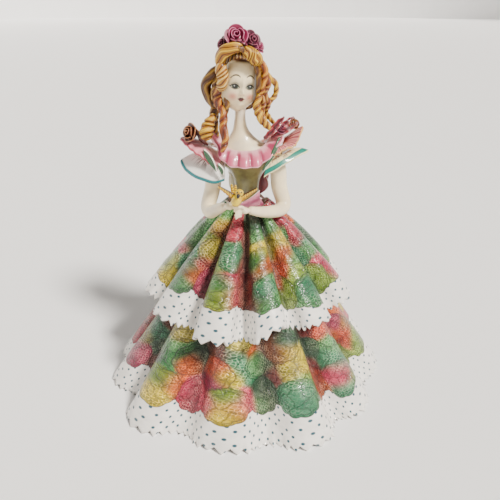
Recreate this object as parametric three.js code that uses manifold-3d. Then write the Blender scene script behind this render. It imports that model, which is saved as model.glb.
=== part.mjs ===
// A glazed ceramic figurine of a lady in a two-tiered crinoline, fired as one piece.
// Millimetres, +Z up, the front towards -Y, the origin on the table under the middle of the lower hem.
// The skirts are hollow slabs, open underneath, and everything above them is one solid with them.
import * as THREE from "three";
import { mergeVertices } from "three/addons/utils/BufferGeometryUtils.js";
import Module from "manifold-3d";

const wasm = await Module();
wasm.setup();

// Driving dimensions

const LOWER_HEM_RADIUS = 131; // to the middle of the folds, on the table
const UPPER_HEM_RADIUS = 93;
const UPPER_HEM_HEIGHT = 87;
const WAIST_HEIGHT = 173;
const SHOULDER_HEIGHT = 217;
const HEAD_CENTRE = [-5, -1, 279];
const SLAB = 3.6; // thickness of the rolled clay at a hem
const THIN_SLAB = 2.4; // thickness of the collar and sleeve petals
const TOOTH_DEPTH = 4.4; // from notch to tip of a pinked edge
const TABLE_CUT = 400; // side of the block that levels the foot

// The folds that face the front, each [azimuth of its ridge, how much further its hem reaches].
const LOWER_RIDGES = [[-92, -6], [-73, 0], [-45, 6], [-9, -5], [27, 1], [52, -3], [84, -4]];
const UPPER_RIDGES = [[-53, -3], [-17, 2], [13, 0], [43, -5], [77, -2]];

const GLAZE = { color: 0xe9dfd0, roughness: 0.22, metalness: 0 };

// Small helpers

const DEG = Math.PI / 180;
const lerp = (a, b, t) => a + (b - a) * t;
const mix = (p, q, t) => p.map((value, i) => lerp(value, q[i], t));
const smooth = (t) => t * t * (3 - 2 * t);
const vec = (p) => new THREE.Vector3(...p);

// A point from the azimuth counted from the front (-Y) towards +X, a radius and a height.
const polar = (azimuth, radius, z) => [
  radius * Math.sin(azimuth * DEG),
  -radius * Math.cos(azimuth * DEG),
  z,
];

// Meshes from grids

class MeshBuilder {
  constructor() {
    this.points = [];
    this.faces = [];
  }
  add(p) {
    this.points.push(...p);
    return this.points.length / 3 - 1;
  }
  quad(a, b, c, d) {
    this.faces.push(a, b, c, a, c, d);
  }
  // Joins two rows of equal length, wrapping round where closed is true.
  band(lower, upper, closed) {
    const last = closed ? lower.length : lower.length - 1;
    for (let i = 0; i < last; i++) {
      const j = (i + 1) % lower.length;
      this.quad(lower[i], lower[j], upper[j], upper[i]);
    }
  }
  // Joins a ring of teeth to a ring with one point for each notch.
  teeth(edge, ring, turned) {
    ring.forEach((point, i) => {
      const next = ring[(i + 1) % ring.length];
      const [notch, tip, end] = [0, 1, 2].map((k) => edge[(2 * i + k) % edge.length]);
      const faces = [[notch, tip, point], [tip, next, point], [tip, end, next]];
      faces.forEach(([a, b, c]) => this.faces.push(...(turned ? [a, c, b] : [a, b, c])));
    });
  }
  fan(centre, ring) {
    ring.forEach((a, i) => this.faces.push(centre, a, ring[(i + 1) % ring.length]));
  }
  geometry() {
    const geometry = new THREE.BufferGeometry();
    geometry.setAttribute("position", new THREE.Float32BufferAttribute(this.points, 3));
    geometry.setIndex(this.faces);
    return geometry;
  }
}

// A solid from a closed geometry. One that faces inwards is turned round.
function solid(source) {
  const bare = source.clone();
  bare.deleteAttribute("normal");
  bare.deleteAttribute("uv");
  const merged = mergeVertices(bare, 1e-4);
  const make = (triVerts) =>
    new wasm.Manifold(
      new wasm.Mesh({ numProp: 3, vertProperties: merged.attributes.position.array, triVerts }),
    );
  const triangles = new Uint32Array(merged.index.array);
  const made = make(triangles);
  return made.volume() > 0 ? made : make(triangles.reverse());
}

const joined = (solids) => solids.reduce((whole, next) => whole.add(next));

// A round limb or strand through the points, with a radius at each of them.
function limb(points, radii, sides, steps, flatten = 1) {
  const curve = new THREE.CatmullRomCurve3(points.map(vec));
  const frames = curve.computeFrenetFrames(steps, false);
  const builder = new MeshBuilder();
  const rings = [];
  for (let i = 0; i <= steps; i++) {
    const t = i / steps;
    const centre = curve.getPoint(t);
    const place = t * (radii.length - 1);
    const low = Math.min(Math.floor(place), radii.length - 2);
    const radius = lerp(radii[low], radii[low + 1], place - low);
    const ring = [];
    for (let k = 0; k < sides; k++) {
      const angle = (2 * Math.PI * k) / sides;
      const p = centre
        .clone()
        .addScaledVector(frames.normals[i], radius * Math.cos(angle))
        .addScaledVector(frames.binormals[i], radius * flatten * Math.sin(angle));
      ring.push(builder.add(p.toArray()));
    }
    rings.push(ring);
  }
  for (let i = 0; i < steps; i++) builder.band(rings[i], rings[i + 1], true);
  builder.fan(builder.add(curve.getPoint(0).toArray()), [...rings[0]].reverse());
  builder.fan(builder.add(curve.getPoint(1).toArray()), rings[steps]);
  return solid(builder.geometry());
}

// A thin sheet with one thickness, from place(u, v) with u and v from 0 to 1.
function sheet(place, columns, rows, thickness) {
  const step = 1e-3;
  const inside = (t) => Math.min(Math.max(t, 0), 1);
  const normalAt = (u, v) => {
    const along = vec(place(inside(u + step), v)).sub(vec(place(inside(u - step), v)));
    const across = vec(place(u, inside(v + step))).sub(vec(place(u, inside(v - step))));
    return along.cross(across).normalize();
  };
  const builder = new MeshBuilder();
  const side = (offset) => {
    const grid = [];
    for (let j = 0; j <= rows; j++) {
      const row = [];
      for (let i = 0; i <= columns; i++) {
        const [u, v] = [i / columns, j / rows];
        row.push(builder.add(vec(place(u, v)).addScaledVector(normalAt(u, v), offset).toArray()));
      }
      grid.push(row);
    }
    return grid;
  };
  const top = side(thickness / 2);
  const bottom = side(-thickness / 2);
  for (let j = 0; j < rows; j++) {
    builder.band(top[j], top[j + 1], false);
    builder.band(bottom[j + 1], bottom[j], false);
  }
  const edge = (grid) => [
    ...grid[0],
    ...grid.slice(1, -1).map((row) => row[columns]),
    ...[...grid[rows]].reverse(),
    ...grid.slice(1, -1).map((row) => row[0]).reverse(),
  ];
  builder.band(edge(bottom), edge(top), true);
  return solid(builder.geometry());
}

const ellipsoid = (centre, radii, wide, high) =>
  solid(new THREE.SphereGeometry(1, wide, high).rotateX(Math.PI / 2).scale(...radii).translate(...centre));

// Folded skirt tiers

// One fold as a curve of even bends: x runs 0 to 1 from valley to valley, y rises 0 to 1 at the ridge.
function foldCurve(columns, bend, widen) {
  const fine = 400;
  const xs = [0];
  const ys = [0];
  for (let i = 0; i < fine; i++) {
    const slope = bend * Math.sin((2 * Math.PI * (i + 0.5)) / fine);
    xs.push(xs[i] + Math.cos(slope));
    ys.push(ys[i] + Math.sin(slope));
  }
  const high = ys[fine / 2];
  return Array.from({ length: columns }, (_, i) => {
    const k = Math.round((fine * i) / columns);
    const x = xs[k] / xs[fine];
    return { x: x - (widen * Math.sin(2 * Math.PI * x)) / (2 * Math.PI), y: ys[k] / high };
  });
}

// Every ridge as [azimuth, more reach at the hem]. The rest share the back evenly.
function ridgesRound(front, count) {
  const rest = count - front.length;
  const last = front[front.length - 1][0];
  const gap = (front[0][0] + 360 - last) / (rest + 1);
  return [...front, ...Array.from({ length: rest }, (_, i) => [last + gap * (i + 1), -3.5])];
}

// A smooth line through three stations, each [share of the way down, radius, height].
function through(stations, t) {
  return [1, 2].map((axis) =>
    stations.reduce((sum, station, i) => {
      const others = stations.filter((_, k) => k !== i);
      return sum + others.reduce((w, [at]) => (w * (t - at)) / (station[0] - at), station[axis]);
    }, 0),
  );
}

function tier({ ridges, teethPerFold, ridge, valley, slant, topSlab, bend, widen, trim }) {
  const curve = foldCurve(teethPerFold * 2, bend, widen);
  const columns = [];
  ridges.forEach(([here, more], i) => {
    const before = ridges[(i + ridges.length - 1) % ridges.length][0] - (i === 0 ? 360 : 0);
    const after = ridges[(i + 1) % ridges.length][0] + (i === ridges.length - 1 ? 360 : 0);
    const [from, to] = [(before + here) / 2, (here + after) / 2];
    curve.forEach(({ x, y }, k) => {
      const azimuth = x < 0.5 ? lerp(from, here, x * 2) : lerp(here, to, x * 2 - 1);
      columns.push({ azimuth, y, more, tip: k % 2 });
    });
  });
  // The slab's outer face at a share t of the way from the top to the hem.
  const outer = ({ azimuth, y, more }, t) => {
    const reach = t * (1 - trim(azimuth) / slant);
    const [radius, z] = mix(through(valley, reach), through(ridge, reach), y);
    return polar(azimuth, radius + more * y * reach, z);
  };
  const notches = columns.filter(({ tip }) => tip === 0);
  const toothed = (c, t) => outer(c, t + (c.tip - 0.5) * (TOOTH_DEPTH / slant));
  const inner = (i, t) => {
    const n = notches.length;
    const along = vec(outer(notches[(i + 1) % n], t)).sub(vec(outer(notches[(i + n - 1) % n], t)));
    const down = vec(outer(notches[i], t + 0.05)).sub(vec(outer(notches[i], t - 0.05)));
    const inward = along.cross(down).normalize();
    const foot = t === 1 ? toothed(notches[i], t) : outer(notches[i], t);
    return vec(foot).addScaledVector(inward, lerp(topSlab, SLAB, smooth(t))).toArray();
  };
  const builder = new MeshBuilder();
  const levels = ridge.slice(0, 2).map(([t]) => t);
  const outside = levels.map((t) => notches.map((c) => builder.add(outer(c, t))));
  const edge = columns.map((c) => builder.add(toothed(c, 1)));
  const inside = [...levels, 1].map((t) => notches.map((_, i) => builder.add(inner(i, t))));
  builder.band(outside[1], outside[0], true);
  builder.teeth(edge, outside[1], false);
  builder.band(inside[0], inside[1], true);
  builder.band(inside[1], inside[2], true);
  builder.band(outside[0], inside[0], true);
  builder.teeth(edge, inside[2], true);
  return solid(builder.geometry());
}

function lowerTier() {
  return tier({
    ridges: ridgesRound(LOWER_RIDGES, 12),
    teethPerFold: 8,
    ridge: [[0, 50, 128], [0.38, 82.5, 81], [1, LOWER_HEM_RADIUS + 7, 3]],
    valley: [[0, 50, 128], [0.38, 71.5, 77.5], [1, LOWER_HEM_RADIUS - 7, -0.6]],
    slant: 152,
    topSlab: 2.4,
    bend: 0.85,
    widen: 0.25,
    trim: () => 0,
  });
}

function upperTier() {
  return tier({
    ridges: ridgesRound(UPPER_RIDGES, 11),
    teethPerFold: 7,
    ridge: [[0, 20, WAIST_HEIGHT + 1], [0.5, 63, 133], [1, UPPER_HEM_RADIUS + 8, UPPER_HEM_HEIGHT + 2]],
    valley: [[0, 15, WAIST_HEIGHT - 3], [0.5, 52.5, 127], [1, UPPER_HEM_RADIUS - 9, UPPER_HEM_HEIGHT - 7]],
    slant: 116,
    topSlab: 2,
    bend: 1.12,
    widen: 0.35,
    trim: (azimuth) => 11 * Math.exp(-(((azimuth - 19) / 11) ** 2)),
  });
}

// Torso, neck and head

function torso() {
  const profile = [[0, 161], [24, 161], [16, 170], [13, 178], [14, 192], [18, 204], [19, 212], [0, 212]];
  const lathe = new THREE.LatheGeometry(profile.map(([r, z]) => new THREE.Vector2(r, z)), 11);
  const body = solid(lathe.rotateX(Math.PI / 2).scale(1, 0.78, 1));
  const shoulders = ellipsoid([-2, 0, SHOULDER_HEIGHT - 1], [27, 17.5, 14], 11, 5);
  const neck = limb(
    [[-5, 2, 218], [-5.5, 1, 230], [-5.7, 0, 240], [-5.4, 0, 252], [-5, 0, 266]],
    [15, 12, 5.8, 4.6, 5.2], 8, 6,
  );
  const sleeveHeads = [-1, 1].map((side) => ellipsoid([side * 23, 0, 213], [11, 12.5, 9], 7, 4));
  return joined([body, shoulders, neck, ...sleeveHeads]);
}

function head() {
  const [x, y, z] = HEAD_CENTRE;
  const skull = ellipsoid([x, y + 1, z + 2], [13.4, 14.5, 18], 10, 6);
  const jaw = ellipsoid([x, y - 3.5, z - 11], [11, 10.4, 12.8], 10, 6);
  const nose = limb([[x, y - 13, z - 1], [x + 0.3, y - 15.6, z - 7.5], [x, y - 11, z - 8.5]], [1.2, 2.1, 1.4], 4, 3);
  return joined([skull, jaw, nose]);
}

// Arms and hands

function arms() {
  const upper = [7, 7.5, 7.4, 6.8];
  const left = limb(
    [[-23, 1, 212], [-30, -1, 202], [-32, -3, 186], [-35, -8, 172], [-32, -17, 169.5], [-25, -29, 177], [-18, -38, 183.5]],
    [...upper, 6.2, 5, 3.7], 7, 11,
  );
  const right = limb(
    [[23, 1, 214], [27, -1, 203], [28, -3, 187], [32, -7, 173], [27, -17, 170.5], [13, -32, 175.5], [1, -41, 181]],
    [...upper, 6, 4.8, 3.7], 7, 11,
  );
  const leftHand = limb([[-20, -36, 182.5], [-13, -42, 183.5], [-6, -45, 181.5]], [3.6, 4.4, 2.4], 7, 3);
  const rightHand = limb([[2, -40, 180], [-3, -44, 181.5], [-8, -47, 178.5]], [3.8, 4.4, 2], 7, 3);
  return joined([left, right, leftHand, rightHand]);
}

// Collar, sleeves, sash and bow

// The collar runs round the shoulders and rises to a peak over each of them, higher on +X.
function collar() {
  const place = (u, v) => {
    const azimuth = lerp(-180, 180, u) * DEG;
    const side = Math.sin(azimuth);
    const lift = 28 * side ** 4;
    const ruffle = Math.sin(azimuth * 14) * 1.2 * v;
    const flare = (side > 0 ? 7 : 1) * side ** 4;
    const [radius, z] = mix([20.5, 222.5 + 0.3 * lift], [28 + ruffle + flare, 212 + lift], v);
    return [radius * side - 2, -radius * Math.cos(azimuth) * lerp(0.76, 0.97, v), z];
  };
  return sheet(place, 32, 1, THIN_SLAB);
}

// A petal hanging from a curve over the shoulder to a rim, both given from the front round to the back.
function petal(root, rim, columns) {
  const [from, to] = [root, rim].map((points) => new THREE.CatmullRomCurve3(points.map(vec)));
  const place = (u, v) => {
    const [p, q] = [from.getPoint(u), to.getPoint(u)];
    p.lerp(q, v);
    p.z += 5 * v * (1 - v);
    return p.toArray();
  };
  return sheet(place, columns, 2, THIN_SLAB);
}

function sleeves() {
  const armhole = (side, z) => [
    [side * 18, -12, z], [side * 27, -8, z + 3], [side * 31, 0, z + 4], [side * 27, 8, z + 3], [side * 18, 12, z],
  ];
  const lowerLeft = [[-19, -19, 198.5], [-42.7, -18, 200], [-58, 0, 210], [-42, 15, 202], [-20, 20, 199]];
  const lowerRight = [[14, -20, 201.6], [35, -14.5, 212.5], [53.5, 0, 219], [40, 14, 209], [19, 20, 202]];
  const upperLeft = [[-24, -21, 211.5], [-43, -15, 221], [-57.5, 0, 230], [-42, 13, 223], [-22, 18, 217]];
  const upperRight = [[21, -19, 219.5], [37, -11.5, 225], [48, 0, 239.5], [40, 11, 229], [21, 18, 221]];
  return joined([
    petal(armhole(-1, 212), lowerLeft, 10),
    petal(armhole(1, 212), lowerRight, 10),
    petal(armhole(-1, 219), upperLeft, 9),
    petal(armhole(1, 221), upperRight, 9),
  ]);
}

function sashAndBow() {
  const profile = [[0, 165], [16.4, 165], [15.4, 171], [15.6, 178], [0, 178]];
  const lathe = new THREE.LatheGeometry(profile.map(([r, z]) => new THREE.Vector2(r, z)), 11);
  const band = solid(lathe.rotateX(Math.PI / 2).scale(1, 0.82, 1));
  // Each loop is a pointed leaf that stands up and comes down again behind itself.
  const loop = (side, tip) => {
    const spine = new THREE.CatmullRomCurve3(
      [[4, 10.5, 173], [14, 10, 181], [16, 12, tip - 7], [15, 15, tip], [14, 18.5, tip - 8], [5, 17, 175]].map(
        ([x, y, z]) => vec([side * x, y, z]),
      ),
    );
    return sheet(
      (u, v) => {
        const p = spine.getPoint(u);
        const wide = 2 + 5 * Math.abs(Math.sin(2 * Math.PI * u));
        return [p.x + lerp(-wide, wide, v), p.y, p.z];
      },
      9, 1, THIN_SLAB,
    );
  };
  const tail = (side) =>
    sheet(
      (u, v) => [side * lerp(3, 14, u) + lerp(-5, 5, v), lerp(13, 46, u), lerp(175, 150, u ** 1.3)],
      3, 1, THIN_SLAB,
    );
  const knot = ellipsoid([0, 14, 174], [5, 4, 5], 7, 5);
  return joined([band, loop(-1, 199.5), loop(1, 195.5), tail(-1), tail(1), knot]);
}

// Hair

const RINGLETS = [
  { points: [[-18, -9, 296], [-19, -11.5, 286], [-20.4, -11.5, 272], [-18, -8.5, 262]], radii: [4.6, 5.2, 5.2, 3.4] },
  { points: [[-19, 1, 286], [-27, 1, 280], [-33, 1, 267], [-30, 0, 254], [-24, -1, 243]], radii: [4, 4.6, 4.6, 4.6, 4] },
  { points: [[-20, -5, 256], [-27, -8, 245], [-32, -10, 236], [-34, -11, 228]], radii: [3.4, 5, 6, 4.4] },
  { points: [[-12, -6, 260], [-12, -14, 246], [-13, -19, 230], [-9, -24, 212]], radii: [2.6, 3.2, 3.6, 2.4] },
  { points: [[12, -9, 293], [16, -9, 283], [17, -8, 273], [9, -9, 266]], radii: [3.6, 4, 3.8, 3.2] },
  { points: [[8, -8, 268], [10, -9, 258], [14, -10, 250], [21, -11, 240]], radii: [3, 3.6, 3.6, 3] },
  { points: [[9, 2, 287], [20, 2, 278], [24, 1, 266], [17, 0, 256], [20, -2, 245]], radii: [3.4, 3.6, 3.6, 3.2, 2.8] },
];

function hair() {
  const [x, y, z] = HEAD_CENTRE;
  const cap = ellipsoid([x, y + 5, z + 5], [15.5, 13.5, 19.5], 11, 6);
  const rolls = [
    limb([[-5, -14, 303.5], [-12, -15, 303.5], [-19, -12.5, 300], [-21, -9, 290]], [3.8, 5.2, 5.6, 4.2], 6, 4),
    limb([[-3.5, -14, 302.5], [3, -15.5, 299.5], [9, -13, 295], [12, -8, 288]], [3.8, 5.6, 5.4, 3.8], 6, 4),
  ];
  const side = RINGLETS.map(({ points, radii }) => limb(points, radii, 5, 6));
  const back = Array.from({ length: 5 }, (_, i) => {
    const across = (i - 2) * 6.5;
    return limb(
      [[x + across * 0.7, 11, 288], [x + across, 17, 277], [x + across, 17, 264], [x + across * 0.9, 13, 254]],
      [4.6, 5.4, 5.2, 3.6], 5, 3,
    );
  });
  const low = [
    limb([[-21, 3, 272], [-25, 4, 256], [-25, 3, 240], [-24, 0, 226]], [4.4, 4.6, 4.4, 3.2], 5, 4),
    limb([[13, 4, 268], [17, 5, 254], [19, 3, 242], [24, 1, 230]], [3.6, 3.8, 3.6, 3], 5, 4),
  ];
  return joined([cap, ...rolls, ...side, ...back, ...low]);
}

// Roses and the bird

function rose(centre, size, tilt) {
  const profile = [[0, -0.6], [0.7, -0.5], [1, 0], [0.84, 0.36], [0.6, 0.22], [0.44, 0.55], [0, 0.4]];
  const bloom = new THREE.LatheGeometry(profile.map(([r, h]) => new THREE.Vector2(r * size, h * size)), 6);
  return solid(bloom.rotateX(Math.PI / 2).rotateX(tilt[0]).rotateY(tilt[1]).translate(...centre));
}

function roses() {
  return joined([
    rose([-5, -6, 309.5], 10.8, [1, 0]),
    rose([6.5, -3, 304.5], 6.8, [0.8, 0.6]),
    rose([11, 1, 299.5], 5, [0.4, 1.1]),
    rose([-13, -5, 304], 5, [0.5, -0.7]),
    rose([-4, 7, 306], 8.6, [-0.6, 0]),
    rose([-44, -4, 231], 7.4, [0.9, -0.4]),
    rose([30, -5, 243], 7.6, [0.8, 0.2]),
    rose([41, -1, 241], 5.6, [0.6, 0.6]),
  ]);
}

function bird() {
  const body = limb([[-9.5, -43.5, 184.5], [-8, -45.5, 190], [-6, -46.5, 195], [-3.3, -46, 199.5]], [2.6, 4.8, 4.4, 3.2], 7, 4);
  const wing = (root, tip) =>
    sheet(
      (u, v) => {
        const spine = mix(root, tip, u);
        return [spine[0], spine[1] + 0.4 * v, spine[2] - v * 6.5 * Math.sqrt(1 - 0.85 * u) - 0.5 * v];
      },
      3, 1, 1.8,
    );
  return joined([
    body,
    wing([-9, -45, 194], [-23.5, -44, 204]),
    wing([-7, -45, 193], [9, -44, 202.5]),
    limb([[-10.5, -43, 190], [-11.8, -41, 196], [-12.2, -39.5, 202.5]], [2.2, 1.8, 1], 5, 2),
  ]);
}

// The whole figurine, levelled where it stands

function figurine() {
  const built = joined([
    lowerTier(),
    upperTier(),
    torso(),
    head(),
    arms(),
    collar(),
    sleeves(),
    sashAndBow(),
    hair(),
    roses(),
    bird(),
  ]);
  const table = solid(new THREE.BoxGeometry(TABLE_CUT, TABLE_CUT, TABLE_CUT).translate(0, 0, -TABLE_CUT / 2));
  const { vertProperties, triVerts } = built.subtract(table).getMesh();
  const geometry = new THREE.BufferGeometry();
  geometry.setAttribute("position", new THREE.BufferAttribute(new Float32Array(vertProperties), 3));
  geometry.setIndex(new THREE.BufferAttribute(new Uint32Array(triVerts), 1));
  geometry.computeVertexNormals();
  const mesh = new THREE.Mesh(geometry, new THREE.MeshStandardMaterial(GLAZE));
  mesh.name = "figurine";
  return mesh;
}

const group = new THREE.Group();
group.add(figurine());

export default group;
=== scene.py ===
"""The looks of a glazed ceramic lady in a two-tiered crinoline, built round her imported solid.

Sizes are in millimetres until a point is written to a mesh, but the property groups hold metres.
The front faces -Y, and +X is on the right of someone who looks at her face.
"""

import math

import bpy
import numpy as np
from bpy.props import FloatProperty, FloatVectorProperty, IntProperty, PointerProperty
from mathutils import Matrix, Vector


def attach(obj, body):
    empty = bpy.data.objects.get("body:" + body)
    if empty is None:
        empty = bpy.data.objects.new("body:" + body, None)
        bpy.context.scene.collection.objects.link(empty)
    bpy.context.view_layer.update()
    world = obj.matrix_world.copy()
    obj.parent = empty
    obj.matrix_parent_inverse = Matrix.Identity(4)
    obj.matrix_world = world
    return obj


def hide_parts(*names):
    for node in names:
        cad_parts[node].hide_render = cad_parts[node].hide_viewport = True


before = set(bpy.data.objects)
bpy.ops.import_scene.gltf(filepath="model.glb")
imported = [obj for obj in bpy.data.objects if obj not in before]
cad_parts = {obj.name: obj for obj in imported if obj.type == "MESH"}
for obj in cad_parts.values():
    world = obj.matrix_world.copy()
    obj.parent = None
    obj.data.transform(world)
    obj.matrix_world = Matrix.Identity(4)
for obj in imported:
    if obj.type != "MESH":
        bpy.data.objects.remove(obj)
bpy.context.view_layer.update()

bl_info = {
    "name": "Crinoline lady figurine",
    "version": (1, 0, 0),
    "blender": (4, 5, 0),
    "location": "View3D > Sidebar > Figurine",
    "description": "Models and glazes a hand-built ceramic lady with a lace-pressed skirt",
    "category": "Object",
}

NODE = "figurine"
MM = 0.001
MAP_UNIT = 100  # millimetres to one unit of a piece's own map
SEAM_GAP = 2e-5  # metres under which two points are one
SEED = 7


def linear(hex_colour):
    """An sRGB hex colour as linear red, green and blue."""
    values = [int(hex_colour[i : i + 2], 16) / 255 for i in (1, 3, 5)]
    return tuple(v / 12.92 if v <= 0.04045 else ((v + 0.055) / 1.055) ** 2.4 for v in values)


# The stained glazes of the skirts, by the names used in the patch lists

PALETTE = {
    name: linear(value)
    for name, value in {
        "sea green": "#17714c",
        "green": "#2d7838",
        "dark green": "#12482e",
        "leaf": "#6c8c1c",
        "yellow": "#c0ab1c",
        "straw": "#cdbf50",
        "orange": "#bc4a16",
        "coral": "#b03424",
        "rose": "#ae2c4a",
        "pink": "#c63a5e",
        "magenta": "#97184a",
        "burgundy": "#6a0f24",
        "crimson": "#841426",
        "amber": "#945c0e",
        "russet": "#6a2310",
        "ochre": "#8c8018",
    }.items()
}

# Folds that face the front, each (azimuth of its ridge, how much further its hem reaches)

LOWER_RIDGES = [(-92, -6), (-73, 0), (-45, 6), (-9, -5), (27, 1), (52, -3), (84, -4)]
UPPER_RIDGES = [(-53, -3), (-17, 2), (13, 0), (43, -5), (77, -2)]

# Painted patches by their colour, each (azimuth, share of the way down)

UPPER_PATCHES = {
    "green": [
        (-81, 0.14), (-77, 0.23), (-82, 0.45), (-66, 0.3), (-60, 0.1), (-54, 0.7), (-24, 0.31),
        (-21, 0.58), (12, 0.22), (7, 0.42), (14, 0.57), (15, 0.78), (41, 0.17), (40, 0.8), (50, 0.45),
        (60, 0.3), (58, 0.7), (76, 0.5),
    ],
    "sea green": [
        (-74, 0.6), (-64, 0.47), (-63, 0.64), (-55, 0.43), (-53, 0.56), (-16, 0.31), (-16, 0.42),
        (9, 0.68), (47, 0.75), (58, 0.5), (82, 0.4),
    ],
    "straw": [(-80, 0.67)],
    "yellow": [(-76, 0.78), (-52, 0.18), (-24, 0.78), (13, 0.36), (48, 0.3)],
    "leaf": [
        (-54, 0.31), (-57, 0.82), (-25, 0.45), (-18, 0.7), (-11, 0.8), (27, 0.78), (43, 0.58),
        (34, 0.69), (67, 0.71),
    ],
    "russet": [(-44, 0.2), (-34, 0.3), (5, 0.72)],
    "ochre": [(-42, 0.35), (-37, 0.79), (27, 0.33), (36, 0.3)],
    "crimson": [(-42, 0.49), (-2, 0.6), (-2, 0.77), (-7, 0.48)],
    "orange": [(-44, 0.59), (20, 0.49), (38, 0.4)],
    "magenta": [(-39, 0.66), (-33, 0.58), (-34, 0.7)],
    "dark green": [(-44, 0.73), (1, 0.11), (16, 0.11), (28, 0.16)],
    "burgundy": [(-32, 0.45), (-1, 0.24), (-1, 0.41), (5, 0.55)],
    "rose": [(-24, 0.11), (-18, 0.2), (-9, 0.69), (58, 0.15), (69, 0.12), (69, 0.33), (77, 0.22)],
    "pink": [(-11, 0.54), (73, 0.61), (84, 0.66)],
    "coral": [(26, 0.5), (26, 0.64), (33, 0.53)],
}
LOWER_PATCHES = {
    "dark green": [
        (-92, 0.45), (-69, 0.44), (-63, 0.66), (-49, 0.6), (-31, 0.47), (-28, 0.54), (-10, 0.45),
        (8, 0.7), (11, 0.57), (10, 0.69), (12, 0.79), (24, 0.41), (36, 0.5), (41, 0.54),
    ],
    "crimson": [(-88, 0.66), (-56, 0.46), (43, 0.44), (39, 0.66)],
    "rose": [(-93, 0.8), (-32, 0.81), (-18, 0.77)],
    "green": [
        (-80, 0.46), (-42, 0.54), (-37, 0.5), (-40, 0.62), (7, 0.79), (5, 0.56), (33, 0.78), (51, 0.55),
        (61, 0.62),
    ],
    "ochre": [(-78, 0.58), (-72, 0.64), (-43, 0.43), (22, 0.6)],
    "magenta": [(-76, 0.8), (-66, 0.75), (-55, 0.7), (-18, 0.67), (72, 0.53)],
    "russet": [(-63, 0.46), (-22, 0.5), (10, 0.47), (15, 0.38), (17, 0.5)],
    "sea green": [
        (-66, 0.57), (-4, 0.5), (-1, 0.57), (3, 0.63), (26, 0.71), (24, 0.8), (47, 0.64), (53, 0.72),
        (49, 0.84),
    ],
    "burgundy": [(-62, 0.8), (-16, 0.48), (14, 0.62)],
    "leaf": [(-43, 0.7), (-10, 0.72), (29, 0.66), (57, 0.8), (69, 0.78), (82, 0.73), (90, 0.72)],
    "yellow": [(-44, 0.79), (-10, 0.61), (-7, 0.8), (24, 0.51), (30, 0.56)],
    "orange": [(-32, 0.61), (-36, 0.71), (3, 0.47), (41, 0.82), (68, 0.6), (80, 0.46)],
    "pink": [(-29, 0.73), (-25, 0.82), (0, 0.72), (-3, 0.78), (3, 0.8), (50, 0.76)],
    "coral": [(-18, 0.57), (49, 0.46), (39, 0.74), (61, 0.48), (68, 0.44), (75, 0.67), (90, 0.55)],
    "straw": [(-2, 0.42)],
    "amber": [(81, 0.62)],
}
BACK_COLOURS = [
    "sea green", "rose", "green", "orange", "leaf", "pink", "dark green", "yellow", "coral",
]

# Hanging curls: the middle line, radii, strands, how often the strands go round, and the tone

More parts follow.
